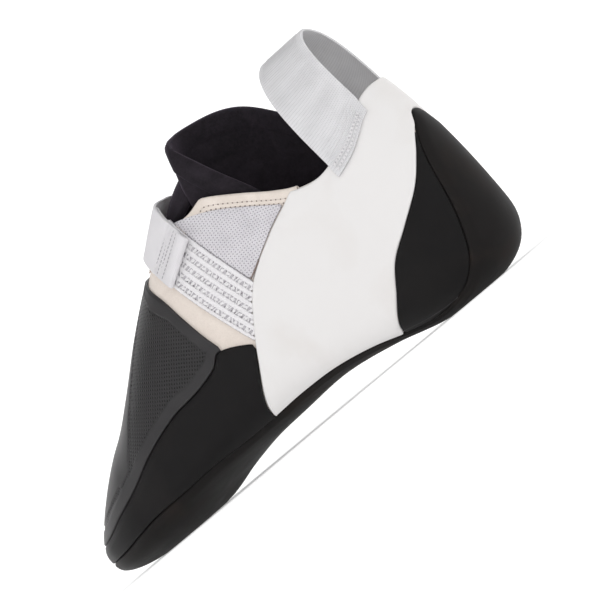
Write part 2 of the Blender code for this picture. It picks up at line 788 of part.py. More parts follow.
def cuff_wall():
    """Padded wall that stands in the collar, high in front and low at both wings."""
    marks = [wing.angle for wing in CUFF]
    rises = [wing.rise for wing in CUFF]
    rings = []
    for angle in np.linspace(marks[0], marks[-1], CUFF_STEPS):
        faces = []
        for depth, drop in ((0.0, CUFF_ROUND), (TONGUE_THICKNESS / 2, 0.0), (TONGUE_THICKNESS, CUFF_ROUND)):
            x, y = cuff_point(angle, depth)
            edge = collar_at(x)
            low, free = edge - CUFF_DEPTH, TONGUE_HEIGHT - edge - CUFF_LOW
            top = edge + CUFF_LOW + free * float(np.interp(angle, marks, rises)) - drop
            levels = CUFF_LEVELS if drop else CUFF_LEVELS[-1:]
            faces.append([(x - CUFF_LEAN * t**2, y, low + (top - low) * t) for t in levels])
        rings.append(faces[0] + faces[1] + faces[2][::-1])
    return skin(rings, True, False)


# Tongue: a strip under the throat, joined to the padded cuff that stands in the collar.
tongue_top = -UPPER_WALL - GAP - TONGUE_GAP
tongue = form("tongue", layer(tongue_top), shoe)
strip_region = prism("tongue region", slit_outline(TONGUE), INSTEP_HEIGHT / 2, TALL, tools, upright=True)
boolean(tongue, strip_region, "INTERSECT")
boolean(tongue, as_cutter(form("tongue lining", layer(tongue_top - TONGUE_THICKNESS), tools)))
boolean(tongue, as_cutter(link_mesh("cuff", cuff_wall(), tools)), "UNION")
finish(tongue, "neoprene")

# Pull loop: a band of webbing over the heel, seated outside the sling on both sides.
bm = bmesh.new()
path = [(bend, 1.0) for bend in LOOP] + [(bend, -1.0) for bend in LOOP[-2::-1]]
rows = []
for bend, sign in path:
    row = []
    for t in np.linspace(0.0, 1.0, LOOP_STEPS):
        seat_x = place(LOOP_REAR.share) + LOOP_WIDTH * t
        foot = collar_at(seat_x) - LOOP_SEAT
        top = HEEL_HEIGHT + LOOP_HEIGHT - LOOP_SEAT
        z = foot + (top - foot) * bend.rise
        on_wall = min(z, collar_at(seat_x) + LOOP_OVER)
        y = bend.spread * wall_y(seat_x, on_wall, SLING_THICKNESS + LOOP_GAP, sign)
        row.append(bm.verts.new((seat_x + LOOP_LEAN * bend.rise, y, z)))
    rows.append(row)
for here, after in zip(rows, rows[1:]):
    for k in range(len(here) - 1):
        bm.faces.new((here[k], after[k], after[k + 1], here[k + 1]))
mesh = bpy.data.meshes.new("pull_loop")
bm.to_mesh(mesh)
bm.free()
pull_loop = bpy.data.objects.new("pull_loop", mesh)
shoe.objects.link(pull_loop)
thickness = pull_loop.modifiers.new("webbing", "SOLIDIFY")
thickness.thickness = WEBBING
thickness.offset = 1.0
thickness.use_even_offset = True
finish(pull_loop, "webbing")
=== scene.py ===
# %% [markdown]
# A climbing shoe for the right foot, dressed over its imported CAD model.
#
# A climbing shoe is made on a last, a smooth block shaped like a foot. Every layer of the
# shoe, from the lining to the rubber, follows that one surface. So this lesson builds the
# surface once, with numbers, and each piece is then a patch of it, lifted by its own
# thickness. Modelling each piece by hand would be the other way, but then neighbours
# would never meet exactly.

# %% Load the frame
import json
import math
from collections import namedtuple

import bmesh
import bpy
import numpy as np
from mathutils import Matrix, Vector

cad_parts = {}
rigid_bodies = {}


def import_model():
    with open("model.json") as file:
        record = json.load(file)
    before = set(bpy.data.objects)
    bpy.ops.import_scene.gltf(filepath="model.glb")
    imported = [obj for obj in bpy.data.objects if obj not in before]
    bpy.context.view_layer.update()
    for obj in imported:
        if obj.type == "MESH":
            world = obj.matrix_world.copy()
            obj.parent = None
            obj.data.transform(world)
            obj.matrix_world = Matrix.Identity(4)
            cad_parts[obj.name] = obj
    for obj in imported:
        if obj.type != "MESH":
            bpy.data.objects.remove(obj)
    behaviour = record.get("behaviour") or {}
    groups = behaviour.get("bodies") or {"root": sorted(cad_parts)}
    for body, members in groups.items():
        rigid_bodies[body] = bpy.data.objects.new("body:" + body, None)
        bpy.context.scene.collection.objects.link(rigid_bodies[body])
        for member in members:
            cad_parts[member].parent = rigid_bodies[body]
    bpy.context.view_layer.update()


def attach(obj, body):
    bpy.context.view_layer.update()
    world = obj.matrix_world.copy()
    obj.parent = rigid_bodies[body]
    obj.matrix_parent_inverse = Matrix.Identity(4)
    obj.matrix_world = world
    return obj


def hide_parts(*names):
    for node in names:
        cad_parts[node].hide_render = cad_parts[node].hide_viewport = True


for leftover in list(bpy.data.objects):
    bpy.data.objects.remove(leftover, do_unlink=True)
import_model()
MM = 0.001

# %% [markdown]
# The sizes of the last come first. They repeat the ones that the CAD model was built
# with, so that what is made here lies where the solids lie. Along the shoe, places are
# shares of its length, because a last is graded that way from size to size.

# %% Sizes of the last
LENGTH = 0.240
BALL_WIDTH = 0.090
INSTEP_HEIGHT = 0.114
HEEL_HEIGHT = 0.094
GIRTH_HEIGHT = 0.026
HEEL_BACK = 0.033
ARCH_RISE, BALL_RISE, TOE_SPRING = 0.009, 0.0065, 0.0015
TOE_SWING, CREST_SHIFT = 0.007, 0.005
HEEL_SPOT, HEEL_PIVOT, TOE_PIVOT = 0.12, 0.135, 0.82
CROWN_POWER, TOE_POWER, CROWN_STEADY = 2.1, 1.9, 0.75
SOLE_THICKNESS, SOLE_WEAR, SOLE_SIDE, SOLE_EDGE = 0.0035, 0.0006, 0.0022, 0.016
GAP = 0.0003


def table(fields, *rows):
    """Rows of numbers as a dictionary of columns."""
    return dict(zip(fields.split(), np.array(rows, dtype=float).T))


LAST = table(
    "share medial lateral crown girth power",
    (0.000, 0.310, 0.328, 1.160, 1.00, 2.9), (0.135, 0.311, 0.328, 1.160, 1.00, 2.9),
    (0.250, 0.289, 0.333, 1.130, 1.00, 2.7), (0.360, 0.283, 0.367, 1.080, 1.00, 2.4),
    (0.460, 0.322, 0.440, 1.000, 1.00, 2.4), (0.560, 0.394, 0.500, 0.845, 0.92, 2.6),
    (0.660, 0.461, 0.517, 0.690, 0.81, 2.9), (0.740, 0.489, 0.455, 0.553, 0.73, 3.0),
    (0.820, 0.462, 0.380, 0.440, 0.65, 3.0), (1.000, 0.340, 0.230, 0.340, 0.42, 3.0),
)
BED = table(
    "share arch ball spring",
    (-0.05, 0.08, 0.00, 0.0), (0.05, 0.00, 0.00, 0.0), (0.19, 0.03, 0.00, 0.0),
    (0.30, 0.60, 0.00, 0.0), (0.42, 1.00, 0.00, 0.0), (0.54, 0.70, 0.30, 0.0),
    (0.66, 0.00, 1.00, 0.0), (0.73, 0.00, 0.58, 0.0), (0.79, 0.00, 0.08, 0.0),
    (0.83, 0.00, 0.00, 0.0), (0.92, 0.00, 0.00, 0.0), (1.00, 0.00, 0.00, 1.0),
    (1.05, 0.00, 0.00, 2.0),
)
SWING = table(
    "share toe crest",
    (-0.05, 0.00, 0.0), (0.30, 0.00, 0.0), (0.50, 0.00, 1.0), (0.65, 0.10, 1.0),
    (0.80, 0.35, 0.8), (0.90, 0.65, 0.5), (1.00, 1.00, 0.4), (1.05, 1.10, 0.4),
)

# %% [markdown]
# The edges of the pieces are drawn once, as a shoemaker's pattern is, on a side view of
# the last. A few points are enough for each line, because a smooth curve is put through
# them. Its points are sorted along the shoe, so that its height can be read at any place.

# %% Curves for a side view
Line = namedtuple("Line", "x z")
PATTERN_STEPS = 160


def place(share):
    return (share - HEEL_SPOT) * LENGTH


def hermite(points, count):
    """Smooth line through points, evenly spaced in their numbering."""
    points = np.array(points, dtype=float)
    slopes = np.gradient(points, axis=0)
    s = np.linspace(0, len(points) - 1, count)
    i = np.minimum(s.astype(int), len(points) - 2)
    t = (s - i)[:, None]
    return (
        (2 * t**3 - 3 * t**2 + 1) * points[i] + (t**3 - 2 * t**2 + t) * slopes[i]
        + (3 * t**2 - 2 * t**3) * points[i + 1] + (t**3 - t**2) * slopes[i + 1]
    )


def pattern(height, *rows):
    """Side line: shares along the last, and heights as shares of one height."""
    points = hermite([(place(share), part * height) for share, part in rows], PATTERN_STEPS)
    points = points[np.argsort(points[:, 0])]
    return Line(points[:, 0], points[:, 1])


def joined(rear, front, at):
    """One line that changes from the rear line to the front one at a place."""
    x = np.concatenate((rear.x[rear.x < at], front.x[front.x >= at]))
    z = np.concatenate((rear.z[rear.x < at], front.z[front.x >= at]))
    return Line(x, z)


def height_on(line, x):
    return np.interp(x, line.x, line.z)


# %% [markdown]
# These are the lines: the collar, the sling's two edges, the heel strip and the rim of
# the sole, the top of the rand, and the rear edge of the rubber over the toes. Heights
# are shares of the heel's or of the instep's height.

# %% Pattern lines
HEEL_TO_TOP = INSTEP_HEIGHT / HEEL_HEIGHT
collar = pattern(
    HEEL_HEIGHT,
    (-0.060, 0.99), (0.010, 1.00), (0.045, 0.99), (0.100, 0.89), (0.170, 0.84), (0.225, 0.86),
    (0.270, 0.755 * HEEL_TO_TOP), (0.325, 0.83 * HEEL_TO_TOP), (0.380, 0.90 * HEEL_TO_TOP),
    (0.430, 0.945 * HEEL_TO_TOP), (0.480, 0.975 * HEEL_TO_TOP), (0.540, 1.03 * HEEL_TO_TOP),
)
sling_front = pattern(
    INSTEP_HEIGHT,
    (0.205, 0.840), (0.232, 0.735), (0.320, 0.655), (0.395, 0.565),
    (0.445, 0.440), (0.490, 0.290), (0.532, 0.150), (0.545, 0.040),
)
sling_rear = pattern(
    HEEL_HEIGHT,
    (0.275, 0.00), (0.263, 0.08), (0.207, 0.22), (0.165, 0.34), (0.111, 0.43),
    (0.060, 0.53), (0.030, 0.64), (0.000, 0.80), (-0.050, 0.84),
)
heel_strip = pattern(
    HEEL_HEIGHT,
    (0.263, 0.085), (0.205, 0.055), (0.150, 0.055), (0.100, 0.085), (0.063, 0.160), (0.043, 0.280),
    (0.032, 0.420), (0.025, 0.580), (0.014, 0.740), (0.004, 0.820), (-0.060, 0.840),
)
sole_rim = pattern(
    SOLE_EDGE,
    (0.263, 0.52), (0.323, 0.78), (0.400, 0.98), (0.474, 1.03), (0.540, 1.00), (0.600, 1.00),
    (0.660, 1.03), (0.720, 0.98), (0.800, 0.93), (0.860, 0.82), (0.920, 0.73), (1.060, 0.66),
)
rand_top = pattern(
    INSTEP_HEIGHT,
    (0.440, 0.330), (0.475, 0.400), (0.520, 0.445), (0.545, 0.410), (0.590, 0.385), (0.650, 0.370),
    (0.720, 0.325), (0.790, 0.262), (0.860, 0.215), (0.930, 0.175), (1.060, 0.145),
)
patch_rear = pattern(
    INSTEP_HEIGHT,
    (0.510, 0.430), (0.523, 0.520), (0.535, 0.620), (0.550, 0.720), (0.575, 0.800), (0.610, 0.900),
)
sole_line = joined(heel_strip, sole_rim, place(0.263))
print("collar from", round(collar.x[0] / MM), "to", round(collar.x[-1] / MM), "mm")

# %% [markdown]
# The tables give sizes at a few places. Between them a smooth curve is read, and from it
# also the slope, which the toe needs, and the bed: how far the bottom rises off the floor
# at the arch, at the ball and at the toes.

# %% Reading the tables


def column(values, name, share):
    """Value of a table's column at shares of the length, on a smooth curve."""
    places, heights = values["share"], values[name]
    slopes = np.gradient(heights, places)
    share = np.asarray(share, dtype=float)
    i = np.clip(np.searchsorted(places, share) - 1, 0, len(places) - 2)
    step = places[i + 1] - places[i]
    t = np.clip((share - places[i]) / step, 0.0, 1.0)
    return (
        (2 * t**3 - 3 * t**2 + 1) * heights[i] + (t**3 - 2 * t**2 + t) * step * slopes[i]
        + (3 * t**2 - 2 * t**3) * heights[i + 1] + (t**3 - t**2) * step * slopes[i + 1]
    )


def slope_of(name, share, step=0.001):
    return (column(LAST, name, share + step) - column(LAST, name, share - step)) / (2 * step)


def bed(share):
    """Rise of the shoe's bottom over the floor."""
    return (
        column(BED, "arch", share) * ARCH_RISE + column(BED, "ball", share) * BALL_RISE
        + column(BED, "spring", share) * TOE_SPRING
    )


print("arch rises", round(float(bed(0.42)) / MM, 1), "mm")

# %% [markdown]
# Now the last itself. It is a row of sections. At the heel and at the toe they turn round
# like a fan, so that the ends are round and without a seam. Each section is given by the
# place it starts from, how far it reaches along and across, and the height of its girth.

# %% Sections of the last
HEEL_ROUND, TOE_ROUND = 34, 40


def half_of_last(side, sign):
    """Base, reach across, share and girth height of each section on one side."""
    rows = []
    heel, toe, nose = place(HEEL_PIVOT), place(TOE_PIVOT), (1.0 - TOE_PIVOT) * LENGTH
    wide = column(LAST, side, HEEL_PIVOT) * BALL_WIDTH * sign
    for turn in np.linspace(0.0, math.pi / 2, HEEL_ROUND + 1)[:-1]:
        reach = (-HEEL_BACK * math.cos(turn), wide * math.sin(turn))
        rows.append((heel, *reach, HEEL_PIVOT, GIRTH_HEIGHT))
    spots = np.concatenate((
        np.linspace(HEEL_PIVOT, 0.40, 44), np.linspace(0.40, 0.62, 66)[1:],
        np.linspace(0.62, TOE_PIVOT, 37)[1:-1],
    ))
    for spot in spots:
        reach = (0.0, column(LAST, side, spot) * BALL_WIDTH * sign)
        rows.append((place(spot), *reach, spot, column(LAST, "girth", spot) * GIRTH_HEIGHT))
    at_pivot, tip = column(LAST, "girth", TOE_PIVOT), LAST["girth"][-1]
    for turn in np.linspace(math.pi / 2, 0.0, TOE_ROUND + 1):
        ahead = max(math.cos(turn), 0.0) ** (2 / TOE_POWER)
        aside = math.sin(turn) ** (2 / TOE_POWER)
        half = column(LAST, side, TOE_PIVOT) + slope_of(side, TOE_PIVOT) * (1.0 - TOE_PIVOT) * ahead
        girth = (at_pivot * (1.0 - ahead) + tip * ahead) * GIRTH_HEIGHT
        rows.append((toe, nose * ahead, half * BALL_WIDTH * sign * aside, TOE_PIVOT, girth))
    return rows


medial, lateral = half_of_last("medial", 1.0), half_of_last("lateral", -1.0)
print("sections:", len(medial), "medial and", len(lateral), "lateral")

# %% [markdown]
# Each section is a half superellipse below the girth and another above it. A superellipse
# is a circle whose power isn't two: a higher one gives a squarer foot, as over the sole.
# The grid is much finer than the CAD model's.

# %% The last as a fine grid
TURNS = 321


def section_grid(rows):
    """Points of the last: one row for each section, from the sole's centre to the crest."""
    base, reach_x, reach_y, share, girth = np.array(rows).T[:, :, None]
    turns = np.linspace(-math.pi / 2, math.pi / 2, TURNS)[None, :]
    crown = column(LAST, "crown", share) * INSTEP_HEIGHT
    floor = SOLE_THICKNESS - SOLE_WEAR
    low = turns < 0
    power = np.where(low, column(LAST, "power", share), CROWN_POWER)
    out = np.maximum(np.cos(turns), 0.0) ** (2 / power)
    lift = np.abs(np.sin(turns)) ** (2 / power)
    height = np.where(low, girth - (girth - floor) * lift, girth + (crown - girth) * lift)
    x = base + reach_x * out
    spot = x / LENGTH + HEEL_SPOT
    y = reach_y * out + column(SWING, "toe", spot) * TOE_SWING
    y = y + column(SWING, "crest", share) * CREST_SHIFT * np.clip(height / crown, 0.0, 1.0)
    fade = np.where(low, 1.0, 1.0 - CROWN_STEADY * lift)
    nose = np.maximum(spot - TOE_PIVOT, 0.0) * lift
    fall = np.where(low, 0.0, -slope_of("crown", TOE_PIVOT) * INSTEP_HEIGHT * nose)
    return np.stack((x, y, np.maximum(height + bed(spot) * fade - fall, 0.0)), axis=-1)


last_points = section_grid(medial + lateral[::-1][1:-1])
COUNT = len(last_points)
MEDIAL = np.arange(len(medial))
LATERAL = np.concatenate((np.arange(len(medial) - 1, COUNT), [0]))
ROUND_TRIP = np.arange(COUNT + 1) % COUNT
print("last:", COUNT, "sections of", TURNS, "points")

# %% [markdown]
# A piece is lifted off the last along the outward directions. Each is the mean of the
# faces round a point. The fans' sections meet at their hinge, so points that lie on one
# spot share one direction, and no piece splits there.

# %% Outward directions


def grid_normals(points):
    """Outward direction at each point of the closed grid, the same where points meet."""
    flat = points.reshape(-1, 3)
    _, same = np.unique(np.round(flat / 2e-6).astype(np.int64), axis=0, return_inverse=True)
    same = same.reshape(-1)
    index = np.arange(len(flat)).reshape(points.shape[:2])
    a, b = index[:, :-1], np.roll(index, -1, axis=0)[:, :-1]
    c, d = np.roll(index, -1, axis=0)[:, 1:], index[:, 1:]
    face = np.cross(flat[c] - flat[a], flat[d] - flat[b])
    total = np.zeros((same.max() + 1, 3))
    for corner in (a, b, c, d):
        np.add.at(total, same[corner].reshape(-1), face.reshape(-1, 3))
    normals = total[same].reshape(points.shape)
    normals /= np.maximum(np.linalg.norm(normals, axis=-1, keepdims=True), 1e-12)
    outside = normals[len(medial) // 2, TURNS // 2, 1] > 0
    return normals if outside else -normals


last_normals = grid_normals(last_points)
steps = np.linalg.norm(np.diff(last_points, axis=1), axis=-1)
last_run = np.hstack((np.zeros((COUNT, 1)), np.cumsum(steps, axis=1)))
print("longest section:", round(last_run.max() / MM, 1), "mm from sole to crest")

# %% [markdown]
# Two helpers read that surface. One finds where a section crosses a pattern line, the
# other gives points and outward directions at any distance along a section. Distances
# are measured on the skin, as with a tape, so that rows stay even on every curve.

# %% Reading the surface


def sample(which, runs):
    """Points and outward directions at distances along the chosen sections."""
    points, normals = np.empty(runs.shape + (3,)), np.empty(runs.shape + (3,))
    for row, i in enumerate(which):
        for axis in range(3):
            points[row, :, axis] = np.interp(runs[row], last_run[i], last_points[i, :, axis])
            normals[row, :, axis] = np.interp(runs[row], last_run[i], last_normals[i, :, axis])
    normals /= np.linalg.norm(normals, axis=-1, keepdims=True)
    return points, normals


def crossing(which, beyond):
    """Distance along each section after which beyond(points) stays positive."""
    result = []
    for i in which:
        amount = beyond(last_points[i])
        under = np.nonzero(amount < 0)[0]
        if len(under) == 0:
            result.append(0.0)
        elif under[-1] == TURNS - 1:
            result.append(last_run[i, -1])
        else:
            k = under[-1]
            t = -amount[k] / (amount[k + 1] - amount[k])
            result.append(last_run[i, k] * (1 - t) + last_run[i, k + 1] * t)
    return np.array(result)


def above(*lines, shift=0.0):
    """Test for crossing: how far points lie over the highest of some side lines."""
    return lambda p: p[:, 2] - np.max([height_on(line, p[:, 0]) for line in lines], axis=0) - shift


def whole(which):
    return last_run[which, -1]


# %% [markdown]
# Every piece becomes a mesh in the same way: a grid of points, faces between neighbours,
# and points that lie on one spot welded. A map in metres goes with it where a weave needs
# one, and a number for each point where a finish changes on the way.

# %% From grids to meshes
WELD = 2e-6


def numbered(grid):
    """The number of each point of a grid, row by row."""
    rows, wide = grid.shape[:2]
    return np.arange(rows * wide).reshape(rows, wide)


def quads_of(index, closed=False):
    """Faces between neighbours in a grid of numbers, closed into rings where asked."""
    if closed:
        index = np.hstack((index, index[:, :1]))
    ring = (index[:-1, :-1], index[1:, :-1], index[1:, 1:], index[:-1, 1:])
    return np.stack(ring, axis=-1).reshape(-1, 4)


def both_faces(index):
    """Faces of a sheet's outside, then the same of its inside, turned over."""
    quads = quads_of(index)
    return [tuple(f) for f in np.vstack((quads, quads[:, ::-1] + index.size))]


def mesh_from(name, points, faces, uv=None, field=None):
    """Welded mesh object from points and faces, with a map and a number for each point."""
    mesh = bpy.data.meshes.new(name)
    mesh.from_pydata([tuple(p) for p in points], [], [tuple(f) for f in faces])
    if field is not None:
        marks = mesh.attributes.new("field", "FLOAT", "POINT")
        marks.data.foreach_set("value", field.astype(np.float32))
    if uv is not None:
        layer = mesh.uv_layers.new(name="surface")
        order = np.empty(len(mesh.loops), dtype=np.int32)
        mesh.loops.foreach_get("vertex_index", order)
        layer.data.foreach_set("uv", np.asarray(uv)[order].astype(np.float32).reshape(-1))
    bm = bmesh.new()
    bm.from_mesh(mesh)
    bmesh.ops.remove_doubles(bm, verts=bm.verts, dist=WELD)
    bmesh.ops.dissolve_degenerate(bm, edges=bm.edges, dist=WELD / 2)
    bmesh.ops.recalc_face_normals(bm, faces=bm.faces)
    bm.to_mesh(mesh)
    bm.free()
    mesh.shade_smooth()
    item = bpy.data.objects.new(name, mesh)
    bpy.context.scene.collection.objects.link(item)
    return item


# %% [markdown]
# Most pieces are plates of this skin: an outer face, an inner face, and a rounded edge
# where the maker skived the material thin. Where a plate crosses the sole's centre or the
# crest, its two halves are left open and welded together. One function makes them all.

# %% Plates of the skin
EDGE_MARKS = np.array((0.0, 0.06, 0.22, 0.5, 0.78, 1.0))


def lean_of(points, runs):
    """How much a slanting edge stretches a distance measured along the sections."""
    along = np.gradient(runs)
    across = np.linalg.norm(np.gradient(points, axis=0), axis=-1)
    side = np.sqrt(np.maximum(across**2 - along**2, 1e-12))
    return np.clip(side / np.maximum(across, 1e-9), 0.2, 1.0)


def plate(
    name, which, low, high, inner, outer, rim, steps,
    open_low=None, open_high=None, relief=None, field=None,
):
    """Piece between two distances on each section, lifted from inner to outer.

    rim is the width of the rounded edge, and steps the points between the two edges.
    relief(points, from_low, from_high) adds height to the outer face, and field, given
    the same, marks its points for the material.
    """
    count = len(which)
    open_low = np.zeros(count, bool) if open_low is None else open_low
    open_high = np.zeros(count, bool) if open_high is None else open_high
    width = (high - low)[:, None]
    leans = []
    for edge in (low, high):
        points, _ = sample(which, edge[:, None])
        leans.append(lean_of(points[:, 0], edge)[:, None])
    first = low[:, None] + EDGE_MARKS * np.minimum(rim / leans[0], width / 3)
    last = high[:, None] - EDGE_MARKS[::-1] * np.minimum(rim / leans[1], width / 3)
    middle = first[:, -1:] + (last[:, :1] - first[:, -1:]) * np.linspace(0, 1, steps)[None, 1:-1]
    runs = np.hstack((first, middle, last))
    swell = np.sqrt(1 - (1 - EDGE_MARKS) ** 2)
    full = np.ones((count, runs.shape[1]))
    full[:, : len(swell)] = np.where(open_low[:, None], 1.0, swell[None, :])
    full[:, -len(swell):] = np.where(open_high[:, None], 1.0, swell[None, ::-1])
    points, normals = sample(which, runs)
    lift = outer - inner
    from_low = (runs - low[:, None]) * leans[0]
    from_high = (high[:, None] - runs) * leans[1]
    if relief is not None:
        lift = lift + relief(points, from_low, from_high)
    marks = None if field is None else np.tile(field(points, from_low, from_high).reshape(-1), 2)
    top = points + normals * (inner + full * lift)[..., None]
    under = points + normals * inner
    index = numbered(runs)
    faces, shift = both_faces(index), index.size
    if which[0] != which[-1]:
        for row in (index[0], index[-1]):
            for a, b in zip(row[:-1], row[1:]):
                faces.append((a, b, b + shift, a + shift))
    for flags, k in ((open_low, 0), (open_high, -1)):
        for row in np.nonzero(flags[:-1] != flags[1:])[0]:
            shut, free = (row + 1, row) if flags[row] else (row, row + 1)
            faces.append((index[shut, k], index[free, k], index[free, k] + shift))
    uv = np.vstack((np.stack((points[..., 0], runs), axis=-1).reshape(-1, 2),) * 2)
    return mesh_from(name, np.vstack((top.reshape(-1, 3), under.reshape(-1, 3))), faces, uv, marks)


# %% [markdown]
# A finished piece is handed over by one more helper. It gives the piece its material, hangs it on
# the body it rides on, and hides the solid of the CAD model that it stands for.

# %% Handing a piece over


def dress(item, material, slot, *nodes):
    """Gives a piece its finish, hangs it on the shoe's body, and hides its CAD node."""
    item.data.materials.clear()
    item.data.materials.append(material)
    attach(item, "root")
    if nodes:
        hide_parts(*nodes)
    triangles = sum(len(p.vertices) - 2 for p in item.data.polygons)
    print(item.name, "-", triangles, "triangles")
    return item


# %% [markdown]
# Finishes come next. Each is a small node tree on the Principled shader: a colour that
# drifts a little, and a bump for the grain. They read the object's own coordinates or
# the piece's own UV map in metres, so that the grain has its real size and stays put.

# %% Helpers for finishes


def add(tree, kind, inputs=(), **settings):
    """New node with its settings, and its inputs set or linked by name or number."""
    node = tree.nodes.new(kind)
    for key, value in settings.items():
        setattr(node, key, value)
    for key, value in dict(inputs).items():
        if isinstance(value, bpy.types.NodeSocket):
            tree.links.new(value, node.inputs[key])
        else:
            node.inputs[key].default_value = value
    return node


def new_finish(name, colour, roughness, **sockets):
    """Material with a Principled shader. Returns the material, tree and shader."""
    material = bpy.data.materials.new(name)
    material.use_nodes = True
    tree = material.node_tree
    shader = tree.nodes["Principled BSDF"]
    shader.inputs["Base Color"].default_value = (*colour, 1.0)
    shader.inputs["Roughness"].default_value = roughness
    for key, value in sockets.items():
        shader.inputs[key.replace("_", " ")].default_value = value
    material.diffuse_color = (*colour, 1.0)
    return material, tree, shader


def object_space(tree):
    return add(tree, "ShaderNodeTexCoord").outputs["Object"]


# %% [markdown]
# A finish is made of few kinds of step: a noise, a range stretched over another, a mix of
# two colours, a sum, and a bump. Weaves also need waves, which repeat at a real pitch.

# %% Steps of a finish


def noise(tree, where, scale, detail=3.0, distortion=0.0):
    return add(
        tree, "ShaderNodeTexNoise",
        {"Vector": where, "Scale": scale, "Detail": detail, "Distortion": distortion},
    ).outputs["Fac"]


def spread(tree, value, low, high, to_low=0.0, to_high=1.0):
    """Stretches part of a value's range over another range."""
    return add(
        tree, "ShaderNodeMapRange",
        {"Value": value, "From Min": low, "From Max": high, "To Min": to_low, "To Max": to_high},
    ).outputs["Result"]


def mixed(tree, share, first, second):
    """Colour between two colours, each a socket or three numbers."""
    node = add(tree, "ShaderNodeMix", data_type="RGBA")
    for key, value in (("Factor", share), ("A", first), ("B", second)):
        socket = [s for s in node.inputs if s.name == key and s.enabled][0]
        if isinstance(value, bpy.types.NodeSocket):
            tree.links.new(value, socket)
        else:
            socket.default_value = value if key == "Factor" else (*value, 1.0)
    return [s for s in node.outputs if s.enabled][0]


def math_of(tree, operation, first, second=0.5):
    return add(tree, "ShaderNodeMath", {0: first, 1: second}, operation=operation).outputs[0]


def bumped(tree, shader, height, strength, distance):
    """Adds a bump on top of what the shader's normal already has."""
    sizes = {"Height": height, "Strength": strength, "Distance": distance}
    node = add(tree, "ShaderNodeBump", sizes)
    if shader.inputs["Normal"].is_linked:
        tree.links.new(shader.inputs["Normal"].links[0].from_socket, node.inputs["Normal"])
    tree.links.new(node.outputs["Normal"], shader.inputs["Normal"])


def coloured(tree, shader, share, first, second):
    tree.links.new(mixed(tree, share, first, second), shader.inputs["Base Color"])


def waves(tree, pitch_u, pitch_v):
    """Two sine waves over the piece's own map, with their pitches in metres."""
    uv = add(tree, "ShaderNodeUVMap", uv_map="surface").outputs["UV"]
    split = add(tree, "ShaderNodeSeparateXYZ", {0: uv}).outputs
    return [
        math_of(tree, "SINE", math_of(tree, "MULTIPLY", split[k], 2 * math.pi / pitch))
        for k, pitch in enumerate((pitch_u, pitch_v))
    ]


# %% [markdown]
# Rubber is near black with a warm cast. Use leaves it dusty and brownish where it has
# rubbed, and it has a fine moulded grain. The same recipe gives the sole, the rand and
# the heel patches, each with its own depth of colour.

# %% Rubber finishes


def rubber(name, colour, dust, roughness, dust_share=0.5):
    material, tree, shader = new_finish(name, colour, roughness, Specular_IOR_Level=0.14)
    where = object_space(tree)
    broad = noise(tree, where, 38.0, 5.0, 0.6)
    fine = noise(tree, where, 900.0, 2.0)
    coloured(tree, shader, spread(tree, broad, 0.48, 0.72, 0.0, dust_share), colour, dust)
    worn = spread(tree, broad, 0.3, 0.7, roughness - 0.07, roughness + 0.08)
    tree.links.new(worn, shader.inputs["Roughness"])
    bumped(tree, shader, fine, 0.12, 0.0002)
    bumped(tree, shader, noise(tree, where, 120.0, 4.0), 0.15, 0.0003)
    return material


sole_rubber = rubber("sole rubber", (0.0068, 0.0056, 0.0054), (0.020, 0.014, 0.0115), 0.56, 0.6)
rand_rubber = rubber("rand rubber", (0.0060, 0.0053, 0.0056), (0.012, 0.010, 0.010), 0.48, 0.6)
heel_rubber = rubber("heel patch rubber", (0.0052, 0.0047, 0.0050), (0.010, 0.0085, 0.008), 0.56)

# %% [markdown]
# The rubber over the toes is moulded with tiny pitted dots in a field, and smooth around it;
# painted shade darkens the dots. A bump alone does for such small dots' relief, but the field's
# border is real relief.
# The material dots only where the mesh says so, through an attribute named field.

# %% Dotted rubber
DOT_PITCH = 0.0019


def dotted_rubber():
    colour, dust = (0.024, 0.0225, 0.024), (0.042, 0.039, 0.040)
    material, tree, shader = new_finish("toe patch rubber", colour, 0.44, Specular_IOR_Level=0.3)
    where = object_space(tree)
    broad = noise(tree, where, 30.0, 4.0, 0.5)
    base = mixed(tree, spread(tree, broad, 0.45, 0.7, 0.0, 0.6), colour, dust)
    field = add(tree, "ShaderNodeAttribute", attribute_name="field").outputs["Fac"]
    dot_pits_and_shade = spread(tree, math_of(tree, "MULTIPLY", *waves(tree, DOT_PITCH, DOT_PITCH)), 0.1, 0.8)
    inside = math_of(tree, "MULTIPLY", dot_pits_and_shade, field)
    # Painted shade: the dots, pits in the bump below, are darkened nearly to black.
    coloured(tree, shader, math_of(tree, "MULTIPLY", inside, 0.9), base, (0.003, 0.003, 0.003))
    bumped(tree, shader, inside, 0.8, -0.0005)
    bumped(tree, shader, noise(tree, where, 700.0, 2.0), 0.1, 0.0002)
    return material


patch_rubber = dotted_rubber()

# %% [markdown]
# The sling is white rubber, smooth, with a soft gloss and a faint warm grime. The upper
# and its binding are microfibre, a felted suede: cream, matt, with a soft sheen.

# %% White rubber and microfibre


def white_rubber():
    plain, clean, grey = (0.74, 0.725, 0.72), (0.75, 0.735, 0.73), (0.67, 0.635, 0.61)
    material, tree, shader = new_finish("white rubber", plain, 0.42, Specular_IOR_Level=0.3)
    where = object_space(tree)
    grime = spread(tree, noise(tree, where, 26.0, 5.0, 0.4), 0.50, 0.75, 0.0, 0.55)
    coloured(tree, shader, grime, clean, grey)
    bumped(tree, shader, noise(tree, where, 60.0, 3.0), 0.12, 0.0006)
    bumped(tree, shader, noise(tree, where, 1200.0, 2.0), 0.08, 0.0001)
    return material


